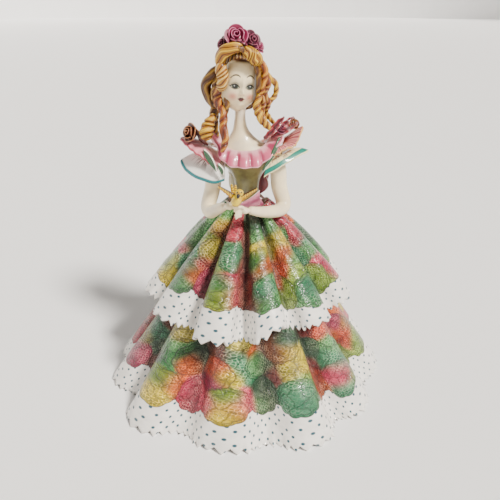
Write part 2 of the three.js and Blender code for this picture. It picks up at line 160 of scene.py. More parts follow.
CURLS = {
    "curl_left_thick": (
        [(-19, -10, 294), (-20, -12.3, 288), (-18.8, -13, 282), (-19.8, -12, 276), (-21.6, -9, 271)],
        [4, 5, 4.9, 4.3, 3], 4, 1.8, "pale",
    ),
    "curl_left_under": (
        [(-21, -7, 276), (-23.5, -6, 268), (-22.8, -6.5, 260), (-20, -8, 254)],
        [3.4, 4, 3.8, 2.6], 3, 1.2, "russet",
    ),
    "curl_left_loop": (
        [(-19, 1, 287), (-27, 1, 283), (-33.4, 1, 274), (-31, 0, 264), (-25, -2, 256)],
        [3.6, 4.4, 4.4, 4.2, 3.6], 4, 0.4, "brown",
    ),
    "curl_left_shade": (
        [(-20, -2, 284), (-24, -3, 276), (-25.6, -4, 266), (-23, -5, 256)],
        [3, 4, 4, 3], 3, 1.1, "brown",
    ),
    "curl_left_front": (
        [(-22.5, -8, 259), (-18.9, -12, 253), (-19.3, -17, 244), (-17.6, -21, 234), (-20.5, -23, 224)],
        [2.8, 3.6, 3.7, 3.4, 2], 2, 2.0, "russet",
    ),
    "curl_left_cone": (
        [(-26, -6, 252), (-30.5, -8, 246), (-33.2, -10, 239), (-33.6, -12, 231)],
        [2.6, 4.8, 6.6, 5.2], 2, 2.4, "gold",
    ),
    "curl_left_low": (
        [(-24, 1, 262), (-27.5, 1.5, 250), (-28, 0, 238), (-24.5, -3, 228)],
        [4, 4.4, 4.2, 3], 3, 1.6, "brown",
    ),
    "curl_right_temple": (
        [(10, -10, 294.5), (14.4, -10.5, 287), (13.8, -9.5, 280), (12.8, -8.5, 273), (10.8, -8, 267)],
        [2.4, 2.9, 2.8, 2.4, 1.8], 2, 1.6, "orange",
    ),
    "curl_right_side": (
        [(6.5, -12.5, 293), (9, -12, 285), (9.8, -11, 277), (8.6, -9.5, 269)],
        [1.6, 2.1, 2.1, 1.4], 2, 1.2, "brown",
    ),
    "curl_right_rope": (
        [(11, -8, 268.5), (8.2, -9, 260), (9.8, -10, 253), (14, -10, 246.3), (20, -9, 240)],
        [2.4, 3.4, 3.8, 3.7, 2.4], 2, 2.6, "gold",
    ),
    "curl_right_loop": (
        [
            (10, 1, 288), (17, 0, 281), (23.6, 0, 274.5), (23.2, 0, 266), (17.7, -1, 260),
            (14.8, -2, 255), (18.1, -3, 249), (23.6, -4, 243),
        ],
        [2.8, 2.6, 2.4, 2.3, 2.4, 2.4, 2.3, 1.6], 2, 5.0, "gold",
    ),
    "curl_right_inner": (
        [(12, -4, 286), (17.6, -5, 276), (15, -5, 268.5), (18, -4, 260), (16, -4, 253)],
        [2.2, 2.4, 2.2, 2.2, 1.4], 2, 3.2, "rosy",
    ),
    "curl_right_back": (
        [(9, 5, 286), (12, 8, 274), (13, 8, 262), (12.5, 6, 252), (14, 3, 244)],
        [3.6, 3.8, 3.4, 3, 2], 3, 1.8, "rosy",
    ),
    "wisp_right_ear": (
        [(11.6, -5.5, 268), (14.1, -6.5, 261), (12.7, -7, 254), (16.5, -7, 247)],
        [1.6, 2.1, 2, 1.0], 2, 2.0, "rosy",
    ),
    "wisp_left_ear": (
        [(-17, -8, 268), (-16, -10, 259), (-18.5, -10, 250), (-17, -12, 241)],
        [2, 2.4, 2.2, 1.2], 2, 1.4, "brown",
    ),
}
HAIR_GLAZES = {
    # Each tone from the strand's crest to its body to the groove
    "pale": ("#f2da90", "#c08a1c", "#5a2a08"),
    "gold": ("#f2c830", "#b07c00", "#542404"),
    "orange": ("#eeb018", "#a86000", "#561c04"),
    "russet": ("#d09420", "#843e04", "#481404"),
    "brown": ("#bc8e28", "#6e4606", "#421c04"),
    "rosy": ("#d8ac54", "#90501c", "#541c1c"),
}


# Sizes and colours that a user would change


class FigurineSkirts(bpy.types.PropertyGroup):
    lower_hem_radius: FloatProperty(
        name="Lower Hem Radius", description="From the axis to the middle of the lower folds",
        default=0.131, unit="LENGTH",
    )
    upper_hem_radius: FloatProperty(
        name="Upper Hem Radius", description="From the axis to the middle of the upper folds",
        default=0.093, unit="LENGTH",
    )
    upper_hem_height: FloatProperty(
        name="Upper Hem Height", description="Height of the upper hem over the table",
        default=0.087, unit="LENGTH",
    )
    waist_height: FloatProperty(
        name="Waist Height", description="Height of the waist over the table",
        default=0.173, unit="LENGTH",
    )
    slab: FloatProperty(
        name="Slab Thickness", description="Thickness of the rolled clay at the hems",
        default=0.0036, unit="LENGTH",
    )
    tooth_depth: FloatProperty(
        name="Tooth Depth", description="From notch to tip of the pinked hems",
        default=0.0047, unit="LENGTH",
    )
    lace_depth: FloatProperty(
        name="Lace Depth", description="How deep the lace is pressed into the clay",
        default=0.00045, unit="LENGTH",
    )
    dot_diameter: FloatProperty(
        name="Dot Diameter", description="Width of the dots on the white border",
        default=0.0023, unit="LENGTH",
    )
    dot_spacing: FloatProperty(
        name="Dot Spacing", description="From a dot to its nearest neighbour",
        default=0.0072, unit="LENGTH",
    )
    border: FloatVectorProperty(
        name="Border", description="White glaze of the borders",
        subtype="COLOR", default=linear("#f0ece6"),
    )
    dots: FloatVectorProperty(
        name="Dots", description="Slate blue dots of the borders",
        subtype="COLOR", default=linear("#1f4c5a"),
    )
    bare_clay: FloatVectorProperty(
        name="Bare Clay", description="Unglazed clay under the skirts",
        subtype="COLOR", default=linear("#d8cdbf"),
    )


class FigurineLady(bpy.types.PropertyGroup):
    ivory: FloatVectorProperty(
        name="Ivory", description="Glaze of the face, neck and arms",
        subtype="COLOR", default=linear("#f4e2b8"),
    )
    collar_pink: FloatVectorProperty(
        name="Collar Pink", description="Glaze of the collar",
        subtype="COLOR", default=linear("#cf6480"),
    )
    olive: FloatVectorProperty(
        name="Olive", description="Glaze of the bodice", subtype="COLOR", default=linear("#76703e"),
    )
    teal: FloatVectorProperty(
        name="Teal", description="Band round the lower sleeves",
        subtype="COLOR", default=linear("#0d6c72"),
    )
    bird: FloatVectorProperty(
        name="Bird", description="Yellow of the bird", subtype="COLOR", default=linear("#e6c404"),
    )
    petal_thickness: FloatProperty(
        name="Petal Thickness", description="Thickness of collar, sleeves and bow",
        default=0.0022, unit="LENGTH",
    )
    back_curls: IntProperty(
        name="Back Curls", description="How many curls hang down the back", default=5, min=3, max=9,
    )


class FigurineStage(bpy.types.PropertyGroup):
    light: FloatVectorProperty(
        name="Light", description="Colour of the sun and the fill light", subtype="COLOR",
        default=(1.0, 0.945, 0.86), min=0, max=1,
    )
    floor: FloatVectorProperty(
        name="Floor", description="Colour of the table", subtype="COLOR", default=linear("#f7f7f8"),
    )
    room: FloatVectorProperty(
        name="Room", description="Colour of the light from all round",
        subtype="COLOR", default=linear("#f4f0e8"),
    )
    room_strength: FloatProperty(
        name="Room Strength", description="How bright the light from all round is", default=0.12,
    )
    key_strength: FloatProperty(
        name="Key Light", description="Strength of the window light from the right", default=7.2,
    )
    fill_power: FloatProperty(
        name="Fill Light", description="Power of the weak light on the left",
        default=1.0, unit="POWER",
    )


# Small helpers


def select(*pieces):
    """Selects only these pieces, and makes the first one active."""
    bpy.ops.object.select_all(action="DESELECT")
    for piece in pieces:
        piece.select_set(True)
    if pieces:
        bpy.context.view_layer.objects.active = pieces[0]


def smoothstep(low, high, value):
    t = np.clip((value - low) / (high - low), 0, 1)
    return t * t * (3 - 2 * t)


def mix(a, b, t):
    return a + (b - a) * t


def unit(rows):
    return rows / np.maximum(np.linalg.norm(rows, axis=-1, keepdims=True), 1e-12)


def through(points, t):
    """A smooth curve through the points, at shares t from 0 to 1."""
    points = np.asarray(points, float)
    padded = np.vstack([2 * points[0] - points[1], points, 2 * points[-1] - points[-2]])
    place = np.clip(np.asarray(t, float), 0, 1) * (len(points) - 1)
    low = np.minimum(place.astype(int), len(points) - 2)
    f = (place - low)[..., None]
    p0, p1, p2, p3 = (padded[low + k] for k in range(4))
    square = 2 * p0 - 5 * p1 + 4 * p2 - p3
    cube = 3 * p1 - p0 - 3 * p2 + p3
    return 0.5 * (2 * p1 + (p2 - p0) * f + square * f**2 + cube * f**3)


def grid_shares(columns, rows):
    """The shares u along the columns and v up the rows of a grid's points, row by row."""
    u, v = np.meshgrid(np.linspace(0, 1, columns + 1), np.linspace(0, 1, rows + 1))
    return u.ravel(), v.ravel()


def laid_grid(name, columns, rows, points):
    """Adds a flat grid and lays its points where they belong, row by row."""
    select()
    bpy.ops.mesh.primitive_grid_add(x_subdivisions=columns, y_subdivisions=rows, size=1, calc_uvs=True)
    grid = bpy.context.object
    grid.name = grid.data.name = name
    grid.data.vertices.foreach_set("co", (np.asarray(points) * MM).ravel())
    grid.data.update()
    return grid


def close_seams(piece):
    """Merges the seams and poles of a piece and turns its faces outwards."""
    select(piece)
    bpy.ops.object.mode_set(mode="EDIT")
    bpy.ops.mesh.select_all(action="SELECT")
    bpy.ops.mesh.remove_doubles(threshold=SEAM_GAP)
    bpy.ops.mesh.normals_make_consistent(inside=False)
    bpy.ops.object.mode_set(mode="OBJECT")


def modify(piece, kind, **settings):
    """Adds a modifier with its settings and applies it."""
    select(piece)
    modifier = piece.modifiers.new(kind.title(), kind)
    for key, value in settings.items():
        setattr(modifier, key, value)
    bpy.ops.object.modifier_apply(modifier=modifier.name)


def join(name, pieces):
    select(*pieces)
    bpy.ops.object.join()
    pieces[0].name = pieces[0].data.name = name
    return pieces[0]


def hand_in(piece, slot, *materials):
    """Gives a finished piece its glazes and its place in the frame."""
    for material in materials:
        piece.data.materials.append(material)
    select(piece)
    bpy.ops.object.shade_smooth()
    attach(piece, "root")
    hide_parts(NODE)


def sheet(name, columns, rows, place, thickness):
    """A petal or ribbon of clay with softened edges, laid over place(u, v)."""
    piece = laid_grid(name, columns, rows, place(*grid_shares(columns, rows)))
    close_seams(piece)
    modify(piece, "SOLIDIFY", thickness=thickness, offset=0)
    modify(piece, "SUBSURF", levels=1, render_levels=1)
    return piece


def tube(name, points, radii, sides=20, step=0.8, lobes=0, groove=0.0, turns=0.0, flat=1.0):
    """A rolled coil of clay with round ends. Its lobes are strands that go round it by the turns."""
    points = np.asarray(points, float)
    length = np.linalg.norm(np.diff(points, axis=0), axis=1).sum()
    steps = max(int(length / step), 6)
    share = np.linspace(0, 1, steps + 1)
    centre = through(points, share)
    tangent = unit(np.gradient(centre, axis=0))
    side = np.zeros_like(tangent)
    guide = np.array([0.0, 1.0, 0.0])
    for i, direction in enumerate(tangent):
        guide = unit(guide - direction * guide.dot(direction))
        side[i] = guide
    other = np.cross(tangent, side)
    radius = np.interp(share, np.linspace(0, 1, len(radii)), radii)
    cap = np.clip(np.minimum(share, 1 - share) * length / radius, 0, 1)
    radius = radius * np.sqrt(1 - (1 - cap) ** 2)
    ring = np.concatenate([[0], np.arange(steps + 1), [steps]])
    radius = np.concatenate([[0], radius, [0]])
    u, v = grid_shares(steps + 2, sides)
    row = np.rint(u * (steps + 2)).astype(int)
    i = ring[row]
    angle = 2 * math.pi * v
    strand = 1 - groove * (1 - np.abs(np.cos(lobes * angle / 2)) ** 0.6) if lobes else 1
    turned = angle + 2 * math.pi * turns * share[i] + 0.5 * min(turns, 1) * np.sin(15 * share[i])
    across = np.cos(turned)[:, None] * side[i] + flat * np.sin(turned)[:, None] * other[i]
    piece = laid_grid(name, steps + 2, sides, centre[i] + across * (radius[row] * strand)[:, None])
    stretch_map(piece, length)
    close_seams(piece)
    return piece


def stretch_map(piece, length):
    """Scales a piece's map along its length to the unit of all maps."""
    layer = piece.data.uv_layers["UVMap"]
    flat = np.empty(len(layer.data) * 2)
    layer.data.foreach_get("uv", flat)
    layer.data.foreach_set("uv", (flat.reshape(-1, 2) * (length / MAP_UNIT, 1)).ravel())


def loft(name, rings, sides, height):
    """A smooth form through level rings, each (height, centre x, centre y, half width, half depth)."""
    rings = np.asarray(rings, float)
    steps = int((rings[-1, 0] - rings[0, 0]) / height)
    u, v = grid_shares(sides, steps + 2)
    row = np.clip(np.rint(v * (steps + 2)).astype(int) - 1, 0, steps)
    z, x, y, wide, deep = through(rings, row / steps).T
    closed = (v == 0) | (v == 1)
    wide, deep = np.where(closed, 0, wide), np.where(closed, 0, deep)
    angle = 2 * math.pi * u
    points = np.stack([x + wide * np.sin(angle), y - deep * np.cos(angle), z], axis=-1)
    piece = laid_grid(name, sides, steps + 2, points)
    close_seams(piece)
    return piece


def turned(name, rings, sides, depth):
    """Raises a ring of clay through (radius, height) rings, then flattens it to its depth."""
    select()
    radius, height = rings[0]
    bpy.ops.mesh.primitive_circle_add(
        vertices=sides, radius=radius * MM, fill_type="NGON", location=(0, 0, height * MM)
    )
    piece = bpy.context.object
    piece.name = piece.data.name = name
    bpy.ops.object.transform_apply(location=True)
    bpy.ops.object.mode_set(mode="EDIT")
    bpy.ops.mesh.select_all(action="SELECT")
    for next_radius, next_height in rings[1:]:
        rise = (0, 0, (next_height - height) * MM)
        bpy.ops.mesh.extrude_region_move(TRANSFORM_OT_translate={"value": rise})
        grow = next_radius / radius
        bpy.ops.transform.resize(value=(grow, grow, 1), center_override=(0, 0, next_height * MM))
        radius, height = next_radius, next_height
    bpy.ops.mesh.select_all(action="SELECT")
    bpy.ops.transform.resize(value=(1, depth, 1), center_override=(0, 0, 0))
    bpy.ops.mesh.normals_make_consistent(inside=False)
    bpy.ops.object.mode_set(mode="OBJECT")
    return piece


def ball(name, centre, radii, segments=32, rings=20):
    select()
    bpy.ops.mesh.primitive_uv_sphere_add(segments=segments, ring_count=rings, radius=1)
    piece = bpy.context.object
    piece.name = piece.data.name = name
    bpy.ops.object.mode_set(mode="EDIT")
    bpy.ops.mesh.select_all(action="SELECT")
    bpy.ops.transform.resize(value=[r * MM for r in radii], center_override=(0, 0, 0))
    bpy.ops.transform.translate(value=[c * MM for c in centre])
    bpy.ops.object.mode_set(mode="OBJECT")
    return piece


# Glazes

MIX_SOCKETS = {"RGBA": ((0, 6, 7), 2), "FLOAT": ((0, 2, 3), 0)}
SMOOTH = {"interpolation_type": "SMOOTHSTEP"}


def add(tree, kind, *values, output=0, **settings):
    """Adds a node, sets it, links its inputs and gives one output, or "all" of them.

    Inputs come in order, or as one dict by name. Each is a value, an sRGB hex colour or another
    node's output. A Mix mixes colours unless a data type is named.
    """
    made = tree.nodes.new(f"ShaderNode{kind}")
    sockets = range(len(values))
    if kind == "Mix":
        made.data_type = settings.pop("data_type", "RGBA")
        sockets, output = MIX_SOCKETS[made.data_type]
    for key, value in settings.items():
        setattr(made, key, value)
    inputs = values[0] if values and isinstance(values[0], dict) else dict(zip(sockets, values))
    for key, value in inputs.items():
        if isinstance(value, bpy.types.NodeSocket):
            tree.links.new(value, made.inputs[key])
            continue
        if isinstance(value, str):
            value = linear(value)
        if made.inputs[key].type == "RGBA":
            value = (*value[:3], 1)
        made.inputs[key].default_value = value
    return made.outputs if output == "all" else made.outputs[output]


def new_glaze(name, roughness=0.4, coat=0.5):
    """A clear, poured glaze over a stained body. It gives sharp white highlights on a soft colour."""
    material = bpy.data.materials.new(name)
    material.use_nodes = True
    tree = material.node_tree
    shader = tree.nodes["Principled BSDF"]
    shader.inputs["Roughness"].default_value = roughness
    # Fired glaze bends light much as window glass does.
    shader.inputs["IOR"].default_value = 1.5
    shader.inputs["Coat Weight"].default_value = coat
    shader.inputs["Coat Roughness"].default_value = 0.07
    shader.inputs["Coat IOR"].default_value = 1.52
    return material, tree, shader


def finish_glaze(tree, shader, colour, height, strength, distance):
    """Gives the glaze its colour and lets its surface follow a height that distance turns to metres."""
    bump = add(tree, "Bump", {"Height": height, "Strength": strength, "Distance": distance})
    tree.links.new(colour, shader.inputs["Base Color"])
    tree.links.new(bump, shader.inputs["Normal"])
    tree.links.new(bump, shader.inputs["Coat Normal"])


def ripple(tree, size):
    """The slow unevenness of a poured glaze, as noise of that size in millimetres."""
    place = add(tree, "TexCoord", output="all")["Object"]
    return add(tree, "TexNoise", {"Vector": place, "Scale": 1 / (size * MM), "Detail": 2.0})


def plain_glaze(name, colour, pooled, size=5.0):
    """One glaze colour that gathers darker where it pooled, so a smooth part has soft depth."""
    material, tree, shader = new_glaze(name)
    noise = ripple(tree, size)
    pools = add(tree, "MapRange", noise, 0.38, 0.72, **SMOOTH)
    base = add(tree, "Mix", pools, colour, pooled)
    finish_glaze(tree, shader, base, noise, 0.25, 0.0004)
    return material


def painted_glaze(name):
    """Underglaze painting from the piece's colour attribute, a little duller where the glaze pooled."""
    material, tree, shader = new_glaze(name)
    paint = add(tree, "Attribute", output="all", attribute_name="paint")["Color"]
    noise = ripple(tree, 4.0)
    pools = add(tree, "MapRange", noise, 0.4, 0.8, **SMOOTH)
    shade = add(tree, "Mix", pools, (1, 1, 1), (0.94, 0.91, 0.86))
    base = add(tree, "Mix", 1.0, paint, shade, blend_type="MULTIPLY")
    finish_glaze(tree, shader, base, noise, 0.15, 0.0003)
    return material


def set_paint(piece, colours):
    layer = piece.data.color_attributes.new("paint", "FLOAT_COLOR", "POINT")
    rgba = np.ones((len(colours), 4))
    rgba[:, :3] = colours
    layer.data.foreach_set("color", rgba.ravel())


def set_value(piece, name, values):
    layer = piece.data.attributes.new(name, "FLOAT", "POINT")
    layer.data.foreach_set("value", np.asarray(values, float))


# The folded skirts


def fold_curve(count, bend, widen):
    """One fold from valley to valley, evenly along the clay: x from 0 to 1, y up to 1 and back."""
    fine = 1600
    slope = bend * np.sin(2 * math.pi * (np.arange(fine) + 0.5) / fine)
    x = np.concatenate([[0], np.cumsum(np.cos(slope))])
    y = np.concatenate([[0], np.cumsum(np.sin(slope))])
    at = np.arange(count) * fine // count
    x, y = x[at] / x[-1], y[at] / y[fine // 2]
    return x - widen * np.sin(2 * math.pi * x) / (2 * math.pi), y


def ridges_round(front, count):
    """Every ridge. Those out of sight share the back evenly."""
    rest = count - len(front)
    gap = (front[0][0] + 360 - front[-1][0]) / (rest + 1)
    return list(front) + [(front[-1][0] + gap * (i + 1), -3.5) for i in range(rest)]


def quadratic(stations, t):
    """Radius and height through three stations, each (share, radius, height)."""
    s = np.asarray(stations, float)
    weights = [
        (t - s[(i + 1) % 3, 0]) * (t - s[(i + 2) % 3, 0])
        / ((s[i, 0] - s[(i + 1) % 3, 0]) * (s[i, 0] - s[(i + 2) % 3, 0]))
        for i in range(3)
    ]
    return [sum(w * s[i, axis] for i, w in enumerate(weights)) for axis in (1, 2)]


TOOTH_COLUMNS = 6
BACK_SEAM = 164  # degrees: the slab's own edges meet behind her


class Tier:
    """One skirt: where its clay runs, and the flat pattern that it was cut from.

    Ridge and valley are stations, each (share of the way down, radius, height). The slant is the
    length down the clay, and trim(azimuth) is how much of it was cut off. Bend and widen shape a fold.
    """

    def __init__(self, ridges, teeth, ridge, valley, slant, bend, widen, trim, slab, top_slab):
        self.ridge = ridge
        self.valley = valley
        self.slant = slant
        self.trim = trim
        self.slab = slab
        self.top_slab = top_slab
        self.teeth = teeth * len(ridges)
        self.per_fold = teeth * TOOTH_COLUMNS
        x, y = fold_curve(self.per_fold, bend, widen)
        azimuths, heights, mores = [], [], []
        count = len(ridges)
        for i, (here, more) in enumerate(ridges):
            before = ridges[i - 1][0] - (360 if i == 0 else 0)
            after = ridges[(i + 1) % count][0] + (360 if i == count - 1 else 0)
            low, high = (before + here) / 2, (here + after) / 2
            azimuths.append(np.where(x < 0.5, mix(low, here, x * 2), mix(here, high, x * 2 - 1)))
            heights.append(y)
            mores.append(np.full_like(y, more))
        azimuth = np.concatenate(azimuths)
        turn = int(np.argmax(azimuth > BACK_SEAM)) // self.per_fold * self.per_fold
        order = np.roll(np.arange(len(azimuth)), -turn)
        self.azimuth = azimuth[order] - np.where(order >= turn, 360, 0)
        self.y = np.concatenate(heights)[order]
        self.more = np.concatenate(mores)[order]
        self.columns = len(azimuth)

    def outer(self, column, t):
        """The outer face, at arrays of column numbers and shares of the way down."""
        column = column % self.columns
        azimuth = np.radians(self.azimuth[column])
        y = self.y[column]
        reach = t * (1 - self.trim(self.azimuth[column]) / self.slant)
        low = quadratic(self.valley, reach)
        high = quadratic(self.ridge, reach)
        waver = 0.7 * np.sin(3 * azimuth + 5 * reach) + 0.5 * np.sin(7 * azimuth - 9 * reach)
        waver = waver * np.sin(math.pi * np.clip(reach, 0, 1)) * smoothstep(0, 0.4, reach)
        radius = mix(low[0], high[0], y) + self.more[column] * y * reach + waver
        z = mix(low[1], high[1], y)
        return np.stack([radius * np.sin(azimuth), -radius * np.cos(azimuth), z], axis=-1)

    def normal(self, column, t):
        """The direction out of the clay."""
        along = self.outer(column + 1, t) - self.outer(column - 1, t)
        down = self.outer(column, t + 0.01) - self.outer(column, t - 0.01)
        return unit(np.cross(down, along))

    def pattern(self, column, t):
        """Where a point lay on the flat slab, as arc angle and radius."""
        return column * self.sweep / self.columns, self.inner_radius + t * self.slant

    def lay_pattern(self):
        """Finds the sweep and inner radius of the flat slab from the lengths of two of its rings."""
        every = np.arange(self.columns)
        rings = []
        for t in (0.25, 1.0):
            ring = self.outer(every, np.full(self.columns, t))
            rings.append(np.linalg.norm(ring - np.roll(ring, 1, axis=0), axis=1).sum())
        self.hem_length = rings[1]
        gain = (rings[1] - rings[0]) / (0.75 * self.slant)
        self.sweep = gain
        self.inner_radius = rings[1] / gain - self.slant

    def flat(self, azimuth, t):
        """The flat pattern's x and y of an azimuth and a share of the way down."""
        wrapped = np.where(np.asarray(azimuth) > self.azimuth[-1], np.asarray(azimuth) - 360, azimuth)
        column = np.interp(wrapped, self.azimuth, np.arange(self.columns))
        angle, radius = self.pattern(column, np.asarray(t))
        return np.stack([radius * np.cos(angle), radius * np.sin(angle)], axis=-1)


# The pressed doilies, with lengths in millimetres

LOW_ROW_SPACING = 29
LOW_ROW_SHARE = 0.82  # length of the lowest row, against the hem
LOW_ROW_RADII = (14.5, 18)
DOILY_GAP = 25.0  # least distance from any other doily, from middle to middle
DOILY_RADII = (0.5, 0.66)  # against that distance
DOILY_TRIES = 2600
NO_DOILY = 3.0  # in a doily's radii, further off than any doily reaches


def scattered_motifs(tier, border, rng, hang):
    """The pressed doilies: a row along the lower edge of the lace, then others a gap apart.

    Each is (flat place, radius, kind). The lower row hangs past the lace's straight edge by that share
    of its radius. They are dealt into four groups, so that no two neighbours are in the same one.
    """
    spots = []
    every = int(tier.hem_length * LOW_ROW_SHARE / LOW_ROW_SPACING)
    for i in range(every):
        column = (i + 0.5) / every * tier.columns
        azimuth = np.interp(column, np.arange(tier.columns), tier.azimuth)
        size = rng.uniform(*LOW_ROW_RADII)
        t = 1 - (border(azimuth) + size * (1 - hang * rng.uniform(0.8, 1.2))) / tier.slant
        angle, radius = tier.pattern(column, t)
        spots.append((np.array([radius * math.cos(angle), radius * math.sin(angle)]), size))
    for _ in range(DOILY_TRIES):
        angle = rng.uniform(0, tier.sweep)
        radius = tier.inner_radius + tier.slant * math.sqrt(rng.uniform(0.01, 0.6))
        spot = np.array([radius * math.cos(angle), radius * math.sin(angle)])
        if all(np.hypot(*(spot - other)) > DOILY_GAP for other, _ in spots):
            spots.append((spot, rng.uniform(*DOILY_RADII) * DOILY_GAP))
    groups = [[], [], [], []]
    for spot, size in spots:
        nearest = [min([np.hypot(*(spot - other[0])) for other in group] + [1e3]) for group in groups]
        groups[int(np.argmax(nearest))].append((spot, size, rng.uniform(0, 1)))
    return groups


def motif_fields(place, groups):
    """For each group, the offset from its nearest doily, in that doily's radii, with its kind."""
    offsets, reaches = [], []
    for group in groups:
        offset = np.tile([NO_DOILY, 0.0, 0.0], (len(place), 1))
        reach = np.full(len(place), NO_DOILY)
        for spot, size, kind in group:
            away = (place - spot) / size
            distance = np.hypot(away[:, 0], away[:, 1])
            nearer = distance < reach
            reach[nearer] = distance[nearer]
            offset[nearer, :2] = away[nearer]
            offset[nearer, 2] = kind
        offsets.append(offset)
        reaches.append(reach)
    return offsets, reaches


PATCH_EDGE = 5.2  # millimetres over which two stains run into each other
DOILY_RELIEF = 0.35  # millimetres that a doily stands proud
DOILY_PULL = 5.0  # millimetres nearer to its middle from which a doily's rim takes its stain
VALLEY_SHADE = 0.46  # brightness of the painted shade in the valleys of the folds
HEM_WAVE_COLUMNS = 24  # to one small wave of the lace's lower edge


def patch_colours(tier, patches, place):
    """Stains each place like its nearest patch. Neighbours run into each other at their edges."""
    total = np.zeros((len(place), 3))
    weight = np.full(len(place), 1e-12)
    for colour, spots in patches.items():
        for spot in tier.flat(*zip(*spots)):
            distance = np.hypot(*(place - spot).T)
            near = np.exp(-((distance / PATCH_EDGE) ** 2))
            total += near[:, None] * np.array(PALETTE[colour])
            weight += near
    return total / weight[:, None]


def skirt(name, tier, patches, border, rng, settings, first_share, rows_seen, hang):
    """Builds one skirt as a closed slab: outer face, rounded hem, inner face and top edge.

    The rows that show start at first_share, and the few above them are hidden.
    """
    hidden = np.linspace(0, first_share, 7)[:-1]
    outside = np.concatenate([hidden, np.linspace(first_share, 1, rows_seen)])
    inside = np.array([1, 0.985, 0.94, 0.82, 0.66, 0.5, 0.34, 0.18, 0.0])
    shares = np.concatenate([outside, [1.0], inside, [0.0]])
    depths = np.concatenate([np.zeros(len(outside)), [0.5], np.ones(len(inside)), [0.0]])
    rows = len(shares) - 1
    row, column = np.divmod(np.arange((rows + 1) * (tier.columns + 1)), tier.columns + 1)
    share, depth = shares[row], depths[row]

    # Every tooth of the pinked hem was cut and pushed about by hand.
    tooth = column // TOOTH_COLUMNS % tier.teeth
    zigzag = 1 - np.abs(column / TOOTH_COLUMNS % 1 * 2 - 1)
    length = 1 + 0.3 * rng.standard_normal(tier.teeth).clip(-1.3, 1.3)
    curl = 0.6 * rng.standard_normal(tier.teeth)
    near_hem = smoothstep(0.9, 1.0, share)
    push = (zigzag - 0.5) * np.where(zigzag > 0.5, length[tooth], 1) * settings.tooth_depth / MM
    t = share + push * near_hem / tier.slant
    normal = tier.normal(column, np.clip(share, 0.01, 0.99))
    slab = mix(tier.top_slab, tier.slab, smoothstep(0, 1, share))
    out = curl[tooth] * zigzag * near_hem - slab * depth

    angle, radius = tier.pattern(column.astype(float), t)
    flat = np.stack([radius * np.cos(angle), radius * np.sin(angle)], axis=-1)
    azimuth = tier.azimuth[column % tier.columns]
    from_hem = (1 - t) * tier.slant
    groups = scattered_motifs(tier, border, rng, hang)
    offsets, reaches = motif_fields(flat, groups)
    winner = np.argmin(reaches, axis=0)
    reach = np.min(reaches, axis=0)
    offset = np.stack(offsets)[winner, np.arange(len(flat))]
    edge = from_hem - border(azimuth) + 1.2 * np.sin(column * 2 * math.pi / HEM_WAVE_COLUMNS)
    out = out + DOILY_RELIEF * np.clip(1 - reach**2, 0, 1) * (depth == 0)
    points = tier.outer(column, t) + normal * out[:, None]
    points[:, 2] = np.maximum(points[:, 2] - 0.15 * tier.slab * np.sin(math.pi * depth), 0)
    piece = laid_grid(name, tier.columns, rows, points)

    # Stain runs to the edges of the doilies, so a place inside one takes colour nearer its middle.
    # The valleys of the folds are painted darker, as painted shade.
    snapped = flat - offset[:, :2] * np.where(reach < 1, DOILY_PULL, 0)[:, None]
    painted_valley_shade = mix(VALLEY_SHADE, 1, smoothstep(-0.05, 0.4, tier.y[column % tier.columns]))
    set_paint(piece, patch_colours(tier, patches, snapped) * painted_valley_shade[:, None])
    for letter, one, distance in zip("abcd", offsets, reaches):
        layer = piece.data.attributes.new(f"doily_{letter}", "FLOAT_VECTOR", "POINT")
        layer.data.foreach_set("vector", one.ravel())
        set_value(piece, f"reach_{letter}", distance)
    set_value(piece, "lace_edge", edge)
    corners = np.empty(len(piece.data.loops), int)
    piece.data.loops.foreach_get("vertex_index", corners)
    hem_place = np.column_stack([column * tier.hem_length / tier.columns, from_hem])
    for label, places in (("hem", hem_place), ("lace", flat)):
        layer = piece.data.uv_layers.new(name=label)
        layer.data.foreach_set("uv", (places[corners] / MAP_UNIT).ravel())
    row_of_face = np.arange(len(piece.data.polygons)) // tier.columns
    under = (depths[row_of_face] == 1) & (shares[row_of_face + 1] < 0.95)
    piece.data.polygons.foreach_set("material_index", under.astype(int))
    close_seams(piece)
    return piece


# Sizes in the lace, in millimetres

NET_MESH = 2.4
STITCH = 1.0
VEIN_CELL = 9
VEIN_DRIFT = 7
STAIN_BLOTCH = 9
WIPED_AND_GLINT_AREA = 24


